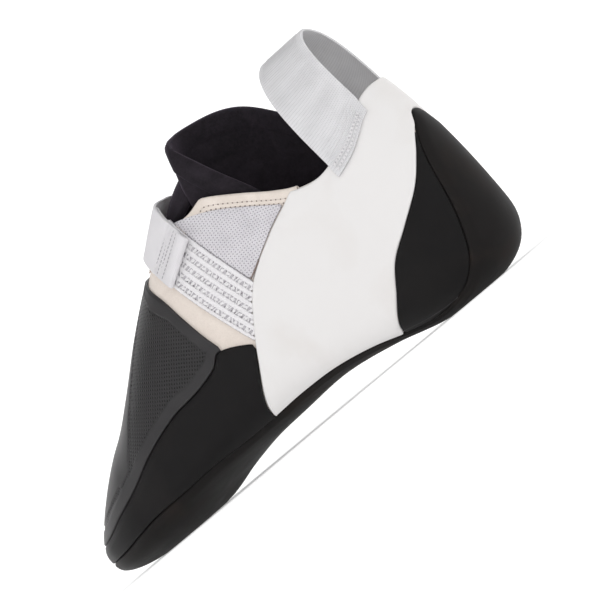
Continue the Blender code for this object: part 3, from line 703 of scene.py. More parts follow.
def suede(name, colour, shade, sheen_tint, sheen, nap=1500.0):
    """Felted or brushed cloth: nap is the scale of its fibres."""
    material, tree, shader = new_finish(
        name, colour, 0.92, Sheen_Weight=sheen, Sheen_Roughness=0.5,
        Sheen_Tint=(*sheen_tint, 1.0), Specular_IOR_Level=0.2,
    )
    where = object_space(tree)
    cloud = noise(tree, where, 90.0, 5.0, 0.8)
    fibre = noise(tree, where, nap, 3.0, 1.0)
    broad, fine = math_of(tree, "MULTIPLY", cloud, 0.6), math_of(tree, "MULTIPLY", fibre, 0.4)
    tone = math_of(tree, "ADD", broad, fine)
    coloured(tree, shader, spread(tree, tone, 0.35, 0.68), colour, shade)
    bumped(tree, shader, fibre, 0.35, 0.0003)
    return material


sling_white = white_rubber()
cream_suede = suede(
    "cream microfibre", (0.79, 0.715, 0.655), (0.68, 0.605, 0.545), (1.0, 0.95, 0.9), 0.25,
)
black_fleece = suede(
    "black neoprene", (0.0055, 0.0048, 0.0062), (0.019, 0.015, 0.020), (0.35, 0.28, 0.38),
    sheen=0.30, nap=900.0,
)
board_cloth = suede(
    "insole cloth", (0.045, 0.043, 0.046), (0.075, 0.072, 0.075), (0.6, 0.6, 0.6), 0.25,
)

# %% [markdown]
# Woven straps have threads at right angles. Two waves over the strap's own UV map make a plain
# weave, whose pitch is a size in metres, and painted shade darkens the gaps between its threads.
# The elastic gusset is knitted instead, with columns of small holes, darkened with painted shade
# too.

# %% Woven and knitted finishes


def woven(name, colour, gap_shade_and_soil, warp, weft, share, depth=0.00025):
    """Weave with a pitch across the strap (warp) and along it (weft), and painted shade in its
    gaps.
    """
    material, tree, shader = new_finish(
        name, colour, 0.85, Sheen_Weight=0.15, Specular_IOR_Level=0.25,
    )
    across, along = waves(tree, warp, weft)
    thread = math_of(tree, "MULTIPLY", across, along)
    lifted = math_of(tree, "ADD", thread, math_of(tree, "MULTIPLY", along, 0.5))
    height = spread(tree, lifted, -1.5, 1.5)
    # Painted shade: the low parts between the threads take the darker gap colour.
    painted_gap_shade = spread(tree, height, 0.45, 0.10, 0.0, share)
    # Random soil, real dirt, mixes a little of the same darker colour in.
    soil = noise(tree, object_space(tree), 70.0, 4.0)
    base = mixed(tree, spread(tree, soil, 0.4, 0.75, 0.0, 0.25), colour, gap_shade_and_soil)
    coloured(tree, shader, painted_gap_shade, base, gap_shade_and_soil)
    bumped(tree, shader, height, 0.6, depth)
    return material


# Each weave's second colour is painted shade for its gaps, and also the colour of its soil.
webbing = woven(
    "strap webbing", (0.74, 0.725, 0.745), (0.52, 0.50, 0.53), 0.0007, 0.00055, share=0.3,
)
loop_webbing = woven(
    "loop webbing", (0.70, 0.695, 0.71), (0.36, 0.355, 0.37), 0.0006, 0.0012, share=0.55,
)
elastic = woven(
    "gusset elastic", (0.68, 0.66, 0.69), (0.24, 0.22, 0.26), 0.0014, 0.0012, 0.85, 0.0005,
)
# Painted shade: the knit ground's grey and its darker gaps stand for the shadow seen through the
# open knit.
knit_shade_ground = woven(
    "knit ground", (0.56, 0.54, 0.57), (0.16, 0.15, 0.16), 0.0021, 0.0018, share=0.85,
)


def yarn(name, colour):
    """Twisted thread, a little darker between its strands."""
    material, tree, shader = new_finish(
        name, colour, 0.88, Sheen_Weight=0.2, Specular_IOR_Level=0.25,
    )
    twist = noise(tree, object_space(tree), 1800.0, 2.0)
    shade = tuple(0.8 * part for part in colour)
    coloured(tree, shader, spread(tree, twist, 0.4, 0.7, 0.0, 0.5), colour, shade)
    bumped(tree, shader, twist, 0.4, 0.0002)
    return material


white_yarn = yarn("white yarn", (0.80, 0.785, 0.80))
cream_thread = yarn("cream thread", (0.66, 0.60, 0.55))
brown_thread = yarn("brown thread", (0.22, 0.17, 0.15))
shade_thread = yarn("grey thread", (0.40, 0.385, 0.41))
# Painted shade: this dark colour stands for the shadow inside each needle hole.
needle_hole_shade = new_finish("needle hole", (0.20, 0.16, 0.14), 0.9)[0]
print("finishes:", len(bpy.data.materials))

# %% [markdown]
# The outsole is one sheet of rubber. The maker glues it under the last, wraps it up round
# the edge, and runs it up the back of the heel as a strip. Its edge is ground to a
# slant. In the middle of each section it lies flat on the floor.

# %% Outsole
sole_high = crossing(ROUND_TRIP, above(sole_line))


def sole_relief(points, from_low, from_high):
    """Thicker under the foot than up the sides, with a ground edge."""
    under = np.clip((0.012 - points[..., 2]) / 0.010, 0.0, 1.0)
    ground_edge = -0.0009 * np.clip(1.0 - from_high / 0.0035, 0.0, 1.0)
    return (SOLE_THICKNESS - SOLE_SIDE) * under + ground_edge


outsole = plate(
    "outsole_rubber", ROUND_TRIP, np.zeros(COUNT + 1), sole_high, GAP, SOLE_SIDE,
    rim=0.0010, steps=44, open_low=np.ones(COUNT + 1, bool), relief=sole_relief,
)
for vert in outsole.data.vertices:
    vert.co.z = max(vert.co.z, 0.0)
dress(outsole, sole_rubber, "rubber", "outsole")

# %% [markdown]
# The upper is cut from microfibre and pulled over the last. It is a true shell here, with
# an outside, a lining side and a turned edge, so that the shoe is hollow from above. It
# stops at the collar, at the throat over the instep, and under the foot where the board
# closes it.

# %% Upper
UPPER_WALL = 0.0016
MARGIN_LEVEL, MARGIN_SHARE = 0.0035, 0.72


def slit(*rows):
    """Half widths of a plan opening on the medial and lateral sides, along x."""
    share, near, far = np.array(rows, dtype=float).T
    points = hermite(np.stack((place(share), near * BALL_WIDTH, far * BALL_WIDTH), axis=1), 60)
    return points[:, 0], points[:, 1], points[:, 2]


throat = slit(
    (0.345, 0.118, 0.100), (0.370, 0.140, 0.130), (0.400, 0.158, 0.190), (0.430, 0.172, 0.190),
    (0.460, 0.170, 0.150), (0.520, 0.130, 0.100), (0.560, 0.080, 0.050), (0.578, 0.030, 0.000),
)


def inside_slit(opening):
    """Test for crossing: how far points lie inside a plan opening."""
    x, near, far = opening

    def beyond(p):
        halves = [np.interp(p[:, 0], x, widths, 0, 0) for widths in (near, far)]
        half = np.where(p[:, 1] > CREST_SHIFT, *halves)
        amount = half - np.abs(p[:, 1] - CREST_SHIFT)
        return np.where(p[:, 2] > INSTEP_HEIGHT / 2, amount, -1.0)

    return beyond


def upper_high(which):
    return np.minimum(crossing(which, above(collar)), crossing(which, inside_slit(throat)))


def over_margin(p):
    return p[:, 2] - (bed(p[:, 0] / LENGTH + HEEL_SPOT) + MARGIN_LEVEL)


top_run = upper_high(ROUND_TRIP)
at_crest = top_run > whole(ROUND_TRIP) - 1e-6
margin = crossing(ROUND_TRIP, over_margin) * MARGIN_SHARE
upper = plate(
    "upper_microfibre", ROUND_TRIP, margin, top_run, -UPPER_WALL, 0.0,
    rim=0.0008, steps=60, open_high=at_crest,
)
dress(upper, cream_suede, "microfibre", "upper")

# %% [markdown]
# The rubber comes next. Each rubber piece is the part of the skin between some pattern
# lines under it and some over it. The sections that such a piece doesn't reach are left
# out, so that no thin slivers remain at its tips.

# %% Regions between pattern lines
FAR = 1.0
LEAST_WIDTH = 0.0004
SIDES = (("medial", MEDIAL), ("lateral", LATERAL))
ROUND_HEEL = np.concatenate((LATERAL[:-1], MEDIAL))
ROUND_TOE = np.concatenate((MEDIAL, LATERAL[1:]))


def longest_run(which, low, high):
    """The longest stretch of sections on which a plate is wider than a least width."""
    best, start = (0, 0), None
    for i, wide in enumerate([*(high - low > LEAST_WIDTH), False]):
        if wide and start is None:
            start = i
        if not wide and start is not None:
            best, start = max(best, (i - start, start)), None
    keep = slice(best[1], best[1] + best[0])
    return which[keep], low[keep], high[keep]


def region(which, low_lines, high_lines, low_shift=0.0, high_shift=0.0):
    """Sections, and the distances along them over the low lines and under the high ones."""
    low = crossing(which, above(*low_lines, shift=low_shift))
    highs = [crossing(which, above(line, shift=high_shift)) for line in high_lines]
    return longest_run(which, low, np.min(highs, axis=0))


def dropped(line):
    """The same line, which falls away in front of its last point."""
    return Line(np.append(line.x, FAR), np.append(line.z, -FAR))


print("sections round the heel:", len(ROUND_HEEL), "and round the toe:", len(ROUND_TOE))

# %% [markdown]
# The white sling is what makes such a shoe aggressive: a band of tensioned rubber from
# the arch round the top of the heel, which pushes the toes forward. It is one plate from
# one side round the heel to the other, thickest along its middle.

# %% Heel sling
SLING_HORN = place(0.205)
SLING_WALL, SLING_SWELL, SLING_SKIVE = 0.0011, 0.0003, 0.006
front_end = Line(
    np.concatenate(((-FAR, SLING_HORN - MM / 10), sling_front.x, (place(0.56), FAR))),
    np.concatenate(((FAR, FAR), sling_front.z, (-0.02, -0.02))),
)


def sling_relief(points, from_low, from_high):
    """The stretched band is a little thicker along the middle than at its edges."""
    inside = np.clip(np.minimum(from_low, from_high) / SLING_SKIVE, 0.0, 1.0)
    return SLING_SWELL * inside**0.5


sling = plate(
    "heel_sling_rubber",
    *region(ROUND_HEEL, (sole_line, dropped(sling_rear)), (front_end, collar), 0.0, -GAP),
    GAP, GAP + SLING_WALL, rim=0.0008, steps=40, relief=sling_relief,
)
dress(sling, sling_white, "white_rubber", "heel_sling")

# %% [markdown]
# Two black patches fill what the sling leaves open at the heel, and the rand is the band
# of rubber round the toes and the ball. Its top edge is skived thin, so that nothing
# catches on the rock.

# %% Heel patches and rand
PATCH_WALL, RAND_WALL = 0.0008, 0.0012
RAND_SKIVE, RAND_SKIVE_WIDTH = 0.0004, 0.003

patch_top = Line(np.array((-FAR, FAR)), np.full(2, 0.72 * HEEL_HEIGHT))
for side_name, sections in SIDES:
    patch = plate(
        "heel_patch_" + side_name + "_rubber",
        *region(sections, (sole_line,), (sling_rear, patch_top)),
        GAP, GAP + PATCH_WALL, rim=0.0004, steps=24,
    )
    dress(patch, heel_rubber, "rand_rubber", "heel_patch_" + side_name)


def rand_relief(points, from_low, from_high):
    """A skived top edge."""
    return -RAND_SKIVE * np.clip(1.0 - from_high / RAND_SKIVE_WIDTH, 0.0, 1.0)


rand = plate(
    "toe_rand_rubber", *region(ROUND_TOE, (sole_line, dropped(sling_front)), (rand_top,)),
    GAP, GAP + RAND_WALL, rim=0.0008, steps=26, relief=rand_relief,
)
dress(rand, rand_rubber, "rubber", "toe_rand")

# %% [markdown]
# Over the toes lies thin rubber for hooking holds. A smooth raised border runs round a
# dotted field on each side. The border is part of the mesh: a step, with a fine groove
# beside it, at a measured distance from the edge.

# %% Toe patch
TOE_PATCH_WALL = 0.0012
BORDER, BORDER_EDGE = 0.0042, 0.0007
FIELD_STEP, FIELD_GROOVE = 0.00035, 0.00045
FIELD_TOP = ((0.575, 0.62, 0.70, 0.78), (0.93, 0.78, 0.50, 0.16))


def ramp(value, start, end):
    """0 before the start, 1 after the end, and a smooth rise between them."""
    t = np.clip((value - start) / (end - start), 0.0, 1.0)
    return t * t * (3 - 2 * t)


def field_of(points, from_low, from_high):
    """1 in the dotted field, 0 on the smooth border."""
    share = points[..., 0] / LENGTH + HEEL_SPOT
    rear = (points[..., 0] - np.interp(points[..., 2], patch_rear.z, patch_rear.x)) * 0.93
    ceiling = np.interp(share, *FIELD_TOP) * (from_low + from_high)
    near = np.minimum(rear - BORDER, from_low - BORDER * 1.25)
    return ramp(np.minimum(near, ceiling - from_low), 0.0, BORDER_EDGE)


def patch_relief(points, from_low, from_high):
    field = field_of(points, from_low, from_high)
    return -FIELD_STEP * field - FIELD_GROOVE * (field * (1 - field) * 4)


which, low, high = region(ROUND_TOE, (rand_top,), (patch_rear,))
apex = last_points[which, -1]
beyond_apex = apex[:, 2] < height_on(patch_rear, apex[:, 0])
toe_patch = plate(
    "toe_patch_rubber", which, low, np.where(beyond_apex, whole(which), high),
    GAP, GAP + TOE_PATCH_WALL, rim=0.0006, steps=76, open_high=beyond_apex,
    relief=patch_relief, field=field_of,
)
print("apex sections:", int(beyond_apex.sum()), "of", len(which))
dress(toe_patch, patch_rubber, "rand_rubber", "toe_patch")

# %% [markdown]
# The straps don't run along the sections but over the instep at a slant. So the middle of
# the last gets a second set of coordinates: x along the shoe, and the distance from the
# crest as a tape laid over the instep would read it, positive on the medial side.

# %% Tape over the instep
TAPE_STEP, TAPE_END = 0.00025, 0.105
mid = np.arange(HEEL_ROUND, len(medial) - TOE_ROUND - 1)
mid_x = last_points[mid, 0, 0]
tape = np.arange(0.0, TAPE_END, TAPE_STEP)


def tape_side(which):
    return sample(which, np.maximum(whole(which)[:, None] - tape, 0.0))


near_points, near_normals = tape_side(mid)
far_points, far_normals = tape_side(2 * len(medial) - 2 - mid)
tape_points = np.concatenate((far_points[:, :0:-1], near_points), axis=1)
tape_normals = np.concatenate((far_normals[:, :0:-1], near_normals), axis=1)


def over_instep(x, reading):
    """Points and outward directions at a place and a reading of the tape."""
    x, reading = np.broadcast_arrays(x, reading)
    row = np.clip(np.interp(x, mid_x, np.arange(len(mid))), 0, len(mid) - 1.001)
    spot = np.clip((reading + TAPE_END - TAPE_STEP) / TAPE_STEP, 0, tape_points.shape[1] - 1.001)
    i, j = row.astype(int), spot.astype(int)
    u, v = (row - i)[..., None], (spot - j)[..., None]
    found = []
    for grid in (tape_points, tape_normals):
        found.append(
            (grid[i, j] * (1 - v) + grid[i, j + 1] * v) * (1 - u)
            + (grid[i + 1, j] * (1 - v) + grid[i + 1, j + 1] * v) * u
        )
    return found[0], found[1] / np.linalg.norm(found[1], axis=-1, keepdims=True)


print("tape:", tape_points.shape[1], "points over each of", len(mid), "sections")

# %% [markdown]
# A second kind of sheet lies over any grid of points, with all four edges rounded. The
# straps, the tongue and the pull loop are made with it. Points are set closer together
# near the edges, where the rounding is.

# %% Sheets over a grid of points


def slab(name, points, normals, inner, outer, across, along, rim, uv):
    """Closed sheet over a grid of points, with all four edges rounded.

    across and along are each point's distances from the nearest long and short edge.
    """
    near = np.clip(np.minimum(across, along) / rim, 0.0, 1.0)
    full = np.sqrt(1 - (1 - near) ** 2)
    top = points + normals * (inner + full * (outer - inner))[..., None]
    under = points + normals * np.broadcast_to(inner, full.shape)[..., None]
    both = np.vstack((top.reshape(-1, 3), under.reshape(-1, 3)))
    return mesh_from(name, both, both_faces(numbered(full)), np.vstack((uv.reshape(-1, 2),) * 2))


def spaced(low, high, rim, count):
    """Numbers from low to high, closer together at both ends."""
    marks = EDGE_MARKS * rim
    middle = np.linspace(low + rim, high - rim, count)[1:-1]
    return np.concatenate((low + marks, middle, high - marks[::-1]))


# %% [markdown]
# Both straps keep to one slanting band. Its middle line leans forward as it climbs. Where
# the band lies on the skin is found by trying: guess a place, read the height there, and
# correct the place, a few times over.

# %% The band of the straps
STRAP_WIDTH, STRAP_THICKNESS, KNIT_THICKNESS = 0.021, 0.0013, 0.0013
BAND_FOOT = (place(0.425), 0.455 * INSTEP_HEIGHT)
BAND_HEAD = (place(0.500), 0.900 * INSTEP_HEIGHT)
BAND_SLANT = (BAND_HEAD[0] - BAND_FOOT[0]) / (BAND_HEAD[1] - BAND_FOOT[1])
BAND_STRETCH = math.hypot(1.0, BAND_SLANT)
hem_line = Line(np.array((place(0.20), place(0.80))), np.array((1.215, 0.390)) * INSTEP_HEIGHT)


def band_place(across, reading):
    """Place along the shoe of a point across the band, at a reading of the tape."""
    x = np.full(np.broadcast(across, reading).shape, BAND_FOOT[0])
    for _ in range(12):
        z = over_instep(x, reading)[0][..., 2]
        x = 0.5 * x + 0.5 * (BAND_FOOT[0] + (z - BAND_FOOT[1]) * BAND_SLANT + across * BAND_STRETCH)
    return x


def band_end(across, readings, line):
    """First reading, going outwards, at which the band passes below a side line."""
    ends = []
    for offset in across:
        x = band_place(offset, readings)
        z = over_instep(x, readings)[0][..., 2]
        under = np.nonzero(z < height_on(line, x))[0]
        ends.append(readings[under[0]] if len(under) else readings[-1])
    smooth = np.polynomial.Polynomial.fit(across, ends, 3)
    return smooth(across)


BAND_RIM, BAND_ROWS = 0.0008, 26
across = spaced(-STRAP_WIDTH / 2, STRAP_WIDTH / 2, BAND_RIM, BAND_ROWS)
outward = np.arange(0.0, 0.098, 0.0005)
hem_end = band_end(across, outward, hem_line)
sling_end_near = band_end(across, outward, sling_front)
sling_end_far = band_end(across, -outward, sling_front)
for end_name, end in (("hem", hem_end), ("sling", sling_end_near), ("far sling", sling_end_far)):
    print(end_name, "at", round(end.mean() / MM, 1), "mm from the crest")


# %% [markdown]
# The closure strap is smooth webbing. It comes from the lateral sling over the instep and
# rests on the knit strap at the medial side. There it folds back under itself, and rows of
# sewing hold the fold, so that its end is a small open loop. The webbing is one sheet, so
# it is made as one: its middle line goes out, round the fold, and back. First come the
# tape's readings along that line.

# %% Closure strap: the way out, round and back
FOLD_RETURN, FOLD_SLACK = 0.022, 0.006
FOLD_RADII = (0.0019, 0.0009)
GOING, TURNING, RETURNING = 170, 15, 36

fold_radius = np.interp(across, (-STRAP_WIDTH / 2, STRAP_WIDTH / 2), FOLD_RADII)[:, None]
turn_at = (hem_end + FOLD_SLACK)[:, None] - fold_radius
going = spaced(0.0, 1.0, BAND_RIM / 0.1, GOING)[:-1]
turning = np.linspace(0.0, math.pi, TURNING)
returning = spaced(0.0, 1.0, BAND_RIM / FOLD_RETURN, RETURNING)[1:]
going_at = sling_end_far[:, None] + (turn_at - sling_end_far[:, None]) * going
returning_at = turn_at - FOLD_RETURN * returning
readings = np.hstack((going_at, np.repeat(turn_at, TURNING, axis=1), returning_at))
run = np.hstack((
    going_at, turn_at + fold_radius * turning,
    2 * turn_at + math.pi * fold_radius - returning_at,
))
print("closure strap:", readings.shape[1], "points along,", FOLD_RETURN / MM, "mm turned back")

# %% [markdown]
# Then come the heights over the skin. From the fold's open loop the strap dips to the
# sewing, lies on the knit strap, and settles on the shoe past the crest, where the padded
# tongue under it lifts it a little.

# %% Closure strap: heights
SEWN_FROM, SEWN_TO, SEWN_PITCH, SEWN_DEPTH = 0.0034, 0.0106, 0.0018, 0.00035
BULGE_AT, BULGE_RISE, BULGE_WIDTH = -0.009, 0.0011, 0.009

half_sheet = STRAP_THICKNESS / 2
low_layer = GAP + KNIT_THICKNESS + 0.0003 + half_sheet
high_layer = low_layer + STRAP_THICKNESS + GAP
from_fold = turn_at - going_at
bulge = BULGE_RISE * np.exp(-((going_at - BULGE_AT) / BULGE_WIDTH) ** 2)
lying = 1.5 * GAP + half_sheet + bulge
past_fold = ramp(from_fold, FOLD_RETURN - 0.002, FOLD_RETURN + 0.012)
sewn_down = high_layer + (lying - high_layer) * past_fold
open_loop = low_layer + 2 * fold_radius
closed = ramp(from_fold, 0.0010, SEWN_FROM + 0.0012)
going_height = open_loop + (sewn_down - open_loop) * closed
round_height = low_layer + fold_radius * (1 + np.cos(turning))
heights = np.hstack((going_height, round_height, np.full(returning_at.shape, low_layer)))
beyond = np.hstack((0 * going_height, fold_radius * np.sin(turning), 0 * returning_at))
print("fold stands", round(heights.max() / MM, 1), "mm over the skin")

# %% [markdown]
# With both, the sheet is laid. Its outward direction turns over with the fold. Four rows
# of sewing press small valleys into it, and their paths are kept for the thread.

# %% Closure strap: the sheet
SEWN_ROWS = 4


def along_band(readings):
    return over_instep(band_place(across[:, None], readings), readings)


base, lifted = along_band(readings)
ahead = along_band(readings + MM)[0] - base
ahead /= np.linalg.norm(ahead, axis=-1, keepdims=True)
angle = np.concatenate((np.zeros(len(going)), turning, np.full(len(returning), math.pi)))
angle = angle[None, :, None]
points = base + lifted * heights[..., None] + ahead * beyond[..., None]
normals = lifted * np.cos(angle) + ahead * np.sin(angle)
side = np.broadcast_to((STRAP_WIDTH / 2 - np.abs(across))[:, None], readings.shape)
tip = np.minimum(run - run[:, :1], run[:, -1:] - run)
sewn = ramp(from_fold, SEWN_FROM - 0.0002, SEWN_FROM + 0.0004)
sewn = sewn * ramp(from_fold, SEWN_TO, SEWN_TO - 0.0006)
valleys = np.cos((from_fold - SEWN_FROM) / SEWN_PITCH * 2 * math.pi) - 1
outer = np.full(readings.shape, half_sheet)
outer[:, : len(going)] += sewn * SEWN_DEPTH * valleys
uv = np.stack(np.broadcast_arrays(across[:, None], run), axis=-1)
inner = np.full(readings.shape, -half_sheet)
closure = slab("closure_strap_webbing", points, normals, inner, outer, side, tip, 0.0005, uv)
dress(closure, webbing, "webbing", "closure_strap")
fold_seams = []
for row_of_sewing in range(SEWN_ROWS):
    distance = SEWN_FROM + (row_of_sewing + 0.5) * SEWN_PITCH
    j = int(np.argmin(np.abs(from_fold[len(across) // 2] - distance)))
    line = points[6:-6, j] + normals[6:-6, j] * (half_sheet - 0.0005)
    fold_seams.append((line, normals[6:-6, j]))

# %% [markdown]
# Yarn, stitches and sewing all repeat one small shape along a path, so Geometry Nodes
# place them. The tree takes the path's line, cuts it to even steps, and sets the shape on
# each with its X axis along the path and its Z axis along the skin's outward direction.
# A turn and a little seeded chance are added to each. Sizes are the tree's named inputs.

# %% A tree that repeats a small shape along a path
Repeat = namedtuple("Repeat", "tree sockets")


def repeat_tree(name):
    """Geometry Nodes: a shape at a pitch along a path, turned to the path and the skin."""
    tree = bpy.data.node_groups.new(name, "GeometryNodeTree")
    make = tree.interface.new_socket
    make("Geometry", in_out="OUTPUT", socket_type="NodeSocketGeometry")
    sockets = {}
    for label, kind in (
        ("Path", "NodeSocketGeometry"), ("Shape", "NodeSocketObject"), ("Pitch", "NodeSocketFloat"),
        ("Turn", "NodeSocketFloat"), ("Jitter", "NodeSocketFloat"), ("Seed", "NodeSocketInt"),
        ("Finish", "NodeSocketMaterial"),
    ):
        sockets[label] = make(label, in_out="INPUT", socket_type=kind).identifier
    given = tree.nodes.new("NodeGroupInput").outputs
    result = tree.nodes.new("NodeGroupOutput")
    curve = add(tree, "GeometryNodeMeshToCurve", {"Mesh": given["Path"]}).outputs["Curve"]
    even = add(
        tree, "GeometryNodeResampleCurve", {"Curve": curve, "Length": given["Pitch"]},
        mode="LENGTH",
    )
    shape = add(tree, "GeometryNodeObjectInfo", {"Object": given["Shape"]}).outputs["Geometry"]
    tangent = add(tree, "GeometryNodeInputTangent").outputs[0]
    outward = add(
        tree, "GeometryNodeInputNamedAttribute", {"Name": "outward"}, data_type="FLOAT_VECTOR",
    ).outputs["Attribute"]
    facing = add(tree, "FunctionNodeAlignRotationToVector", {"Vector": tangent}, axis="X")
    upright = add(
        tree, "FunctionNodeAlignRotationToVector",
        {"Rotation": facing.outputs[0], "Vector": outward}, axis="Z", pivot_axis="X",
    )
    chance = add(tree, "FunctionNodeRandomValue", {"Seed": given["Seed"]}, data_type="FLOAT")
    values = [s for s in chance.inputs if s.enabled]
    values[0].default_value, values[1].default_value = -1.0, 1.0
    drift = math_of(tree, "MULTIPLY", [s for s in chance.outputs if s.enabled][0], given["Jitter"])
    angle = math_of(tree, "ADD", given["Turn"], drift)
    spin = add(tree, "ShaderNodeCombineXYZ", {"Z": angle}).outputs[0]
    local = add(tree, "FunctionNodeEulerToRotation", {0: spin}).outputs[0]
    turned = add(
        tree, "FunctionNodeRotateRotation",
        {"Rotation": upright.outputs[0], "Rotate By": local}, rotation_space="LOCAL",
    )
    placed = add(
        tree, "GeometryNodeInstanceOnPoints",
        {"Points": even.outputs["Curve"], "Instance": shape, "Rotation": turned.outputs[0]},
    )
    real = add(
        tree, "GeometryNodeRealizeInstances", {"Geometry": placed.outputs["Instances"]},
    ).outputs["Geometry"]
    done = add(
        tree, "GeometryNodeSetMaterial", {"Geometry": real, "Material": given["Finish"]},
    ).outputs["Geometry"]
    smooth = add(tree, "GeometryNodeSetShadeSmooth", {"Geometry": done}).outputs["Geometry"]
    tree.links.new(smooth, result.inputs["Geometry"])
    return Repeat(tree, sockets)


row_of_shapes = repeat_tree("shapes along a path")
print("inputs of the tree:", ", ".join(row_of_shapes.sockets))

# %% [markdown]
# Two helpers use the tree. One makes a bead, the small closed shape that is repeated: a
# sphere of a few dozen faces, stretched, and blunter at its ends where a stitch is. The
# other makes the path, runs the tree on it, and turns the result into a plain mesh.

# %% Beads along paths
beads = []


def bead(name, size, power=1.0):
    """Small closed rounded shape. A power under 1 blunts its ends."""
    bm = bmesh.new()
    bmesh.ops.create_uvsphere(bm, u_segments=8, v_segments=5, radius=0.5)
    turn = Matrix.Rotation(math.pi / 2, 4, "Y")
    bmesh.ops.transform(bm, matrix=turn, verts=bm.verts)
    for vert in bm.verts:
        x = 2 * vert.co.x
        vert.co.x = math.copysign(abs(x) ** power, x) / 2
        vert.co = Vector(vert.co[axis] * size[axis] for axis in range(3))
    mesh = bpy.data.meshes.new(name)
    bm.to_mesh(mesh)
    bm.free()
    item = bpy.data.objects.new(name, mesh)
    bpy.context.scene.collection.objects.link(item)
    beads.append(item)
    return item


def along_paths(name, paths, shape, pitch, material, turn=0.0, jitter=0.0, seed=1):
    """Plain mesh of a shape repeated along paths, each a pair of points and directions.

    The turn is in degrees, and the jitter, its greatest change, in radians.
    """
    points, outward, edges = [], [], []
    for path, directions in paths:
        start = len(points)
        points += [tuple(p) for p in path]
        outward += [tuple(n) for n in directions]
        edges += [(start + k, start + k + 1) for k in range(len(path) - 1)]
    mesh = bpy.data.meshes.new(name)
    mesh.from_pydata(points, edges, [])
    layer = mesh.attributes.new("outward", "FLOAT_VECTOR", "POINT")
    layer.data.foreach_set("vector", np.array(outward, dtype=np.float32).reshape(-1))
    item = bpy.data.objects.new(name, mesh)
    bpy.context.scene.collection.objects.link(item)
    modifier = item.modifiers.new("repeat", "NODES")
    modifier.node_group = row_of_shapes.tree
    given = {
        "Shape": shape, "Pitch": pitch, "Turn": math.radians(turn), "Jitter": jitter,
        "Seed": seed, "Finish": material,
    }
    for label, value in given.items():
        modifier[row_of_shapes.sockets[label]] = value
    evaluated = item.evaluated_get(bpy.context.evaluated_depsgraph_get())
    made = bpy.data.meshes.new_from_object(evaluated)
    item.modifiers.remove(modifier)
    item.data = made
    return item


# %% [markdown]
# The first use is the grey thread in the closure strap's fold. Each stitch is a bead a
# little shorter than the pitch, pressed halfway into the webbing.

# %% Sewing of the fold
seam_bead = bead("seam", (0.0013, 0.00045, 0.00040), power=0.8)
fold_sewing = along_paths(
    "closure_strap_sewing", fold_seams, seam_bead, 0.0017, shade_thread, seed=2,
)
dress(fold_sewing, shade_thread, "webbing")

# %% [markdown]
# The knit strap takes its place between hem and sling. It is open knitting: white cords run along
# it, and short bars join them, with gaps between. A picture of holes would look flat from the side,
# so the cords and bars are real. They lie on a thin grey ground, which is painted shade: it is what
# shows in the gaps as their shadow.

# %% Knit strap: the ground
KNIT_TUCK, KNIT_STOP = 0.009, 0.0006
KNIT_GROUND, KNIT_LENGTH = 0.00045, 0.051
knit_start, knit_end = hem_end - KNIT_TUCK, sling_end_near - KNIT_STOP


def band_grid(start, end, count):
    """Points, normals, edge distances and map of the band between two ends."""
    share = spaced(0.0, 1.0, BAND_RIM / np.abs(end - start).mean(), count)
    readings = start[:, None] + (end - start)[:, None] * share
    points, normals = along_band(readings)
    side = np.broadcast_to((STRAP_WIDTH / 2 - np.abs(across))[:, None], readings.shape)
    tip = np.minimum(np.abs(readings - start[:, None]), np.abs(readings - end[:, None]))
    uv = np.stack(np.broadcast_arrays(across[:, None], readings), axis=-1)
    return points, normals, side, tip, uv


points, normals, side, tip, uv = band_grid(knit_start, knit_end, 60)
# Painted shade: this thin grey sheet under the cords stands for the shadow in the knit's gaps.
shade_ground = slab(
    "knit_strap_ground", points, normals, GAP, GAP + KNIT_GROUND, side, tip, 0.0003, uv,
)
dress(shade_ground, knit_shade_ground, "webbing", "knit_strap")

# %% [markdown]
# Each cord is two rows of slanting beads that cross, as the loops of a chain stitch do.
# Bars lie across between the cords, and a few loose loops break their order, because
# stretched knitting is never even.

# %% Knit strap: cords, bars and loops
RAILS, RAIL_EDGE = 6, 0.0009
RAIL_PITCH, RAIL_TURN = 0.00085, 28
rail_at = np.linspace(-STRAP_WIDTH / 2 + RAIL_EDGE, STRAP_WIDTH / 2 - RAIL_EDGE, RAILS)
between = (rail_at[1:] + rail_at[:-1]) / 2


def band_paths(offsets, lift, count=90):
    """Paths along the knit strap, raised off the skin, with their outward directions."""
    paths = []
    for offset in offsets:
        ends = np.interp(offset, across, knit_start), np.interp(offset, across, knit_end)
        readings = np.linspace(*ends, count)
        points, normals = over_instep(band_place(offset, readings), readings)
        paths.append((points + normals * lift, normals))
    return paths


rail_bead = bead("rail bead", (0.0021, 0.0013, 0.0009))
bar = bead("bar", (0.0037, 0.00062, 0.00062), power=0.8)
for name, offsets, lift, shape, pitch, turn, jitter, seed in (
    ("knit_strap_rails", rail_at, 0.00075, rail_bead, RAIL_PITCH, RAIL_TURN, 0.35, 3),
    (
        "knit_strap_rails_crossed", rail_at[:-1] + 0.0006, 0.0006, rail_bead,
        RAIL_PITCH, -RAIL_TURN, 0.35, 4,
    ),
    ("knit_strap_bars", between, 0.00055, bar, 0.0017, 90, 0.55, 5),
    ("knit_strap_loops", between + 0.0004, 0.0005, rail_bead, 0.0029, 60, 0.9, 11),
):
    paths = band_paths(offsets, GAP + lift)
    yarns = along_paths(name, paths, shape, pitch, white_yarn, turn, jitter, seed)
    dress(yarns, white_yarn, "webbing")

# %% [markdown]
# Behind the strap, an elastic gusset on each side lets the collar open for the foot. It is sewn in
# between the sling and the binding, and is only as thick as a sock. A brown bar tack holds its
# corner.

# %% Gussets
BINDING, BINDING_OVERLAP = 0.006, 0.0006
GUSSET_WALL, GUSSET_CUT, GUSSET_AREA = 0.0006, (0.040, 0.038), 0.00079
TACK_START, TACK_REACH = 0.0015, (0.0065, 0.0018)

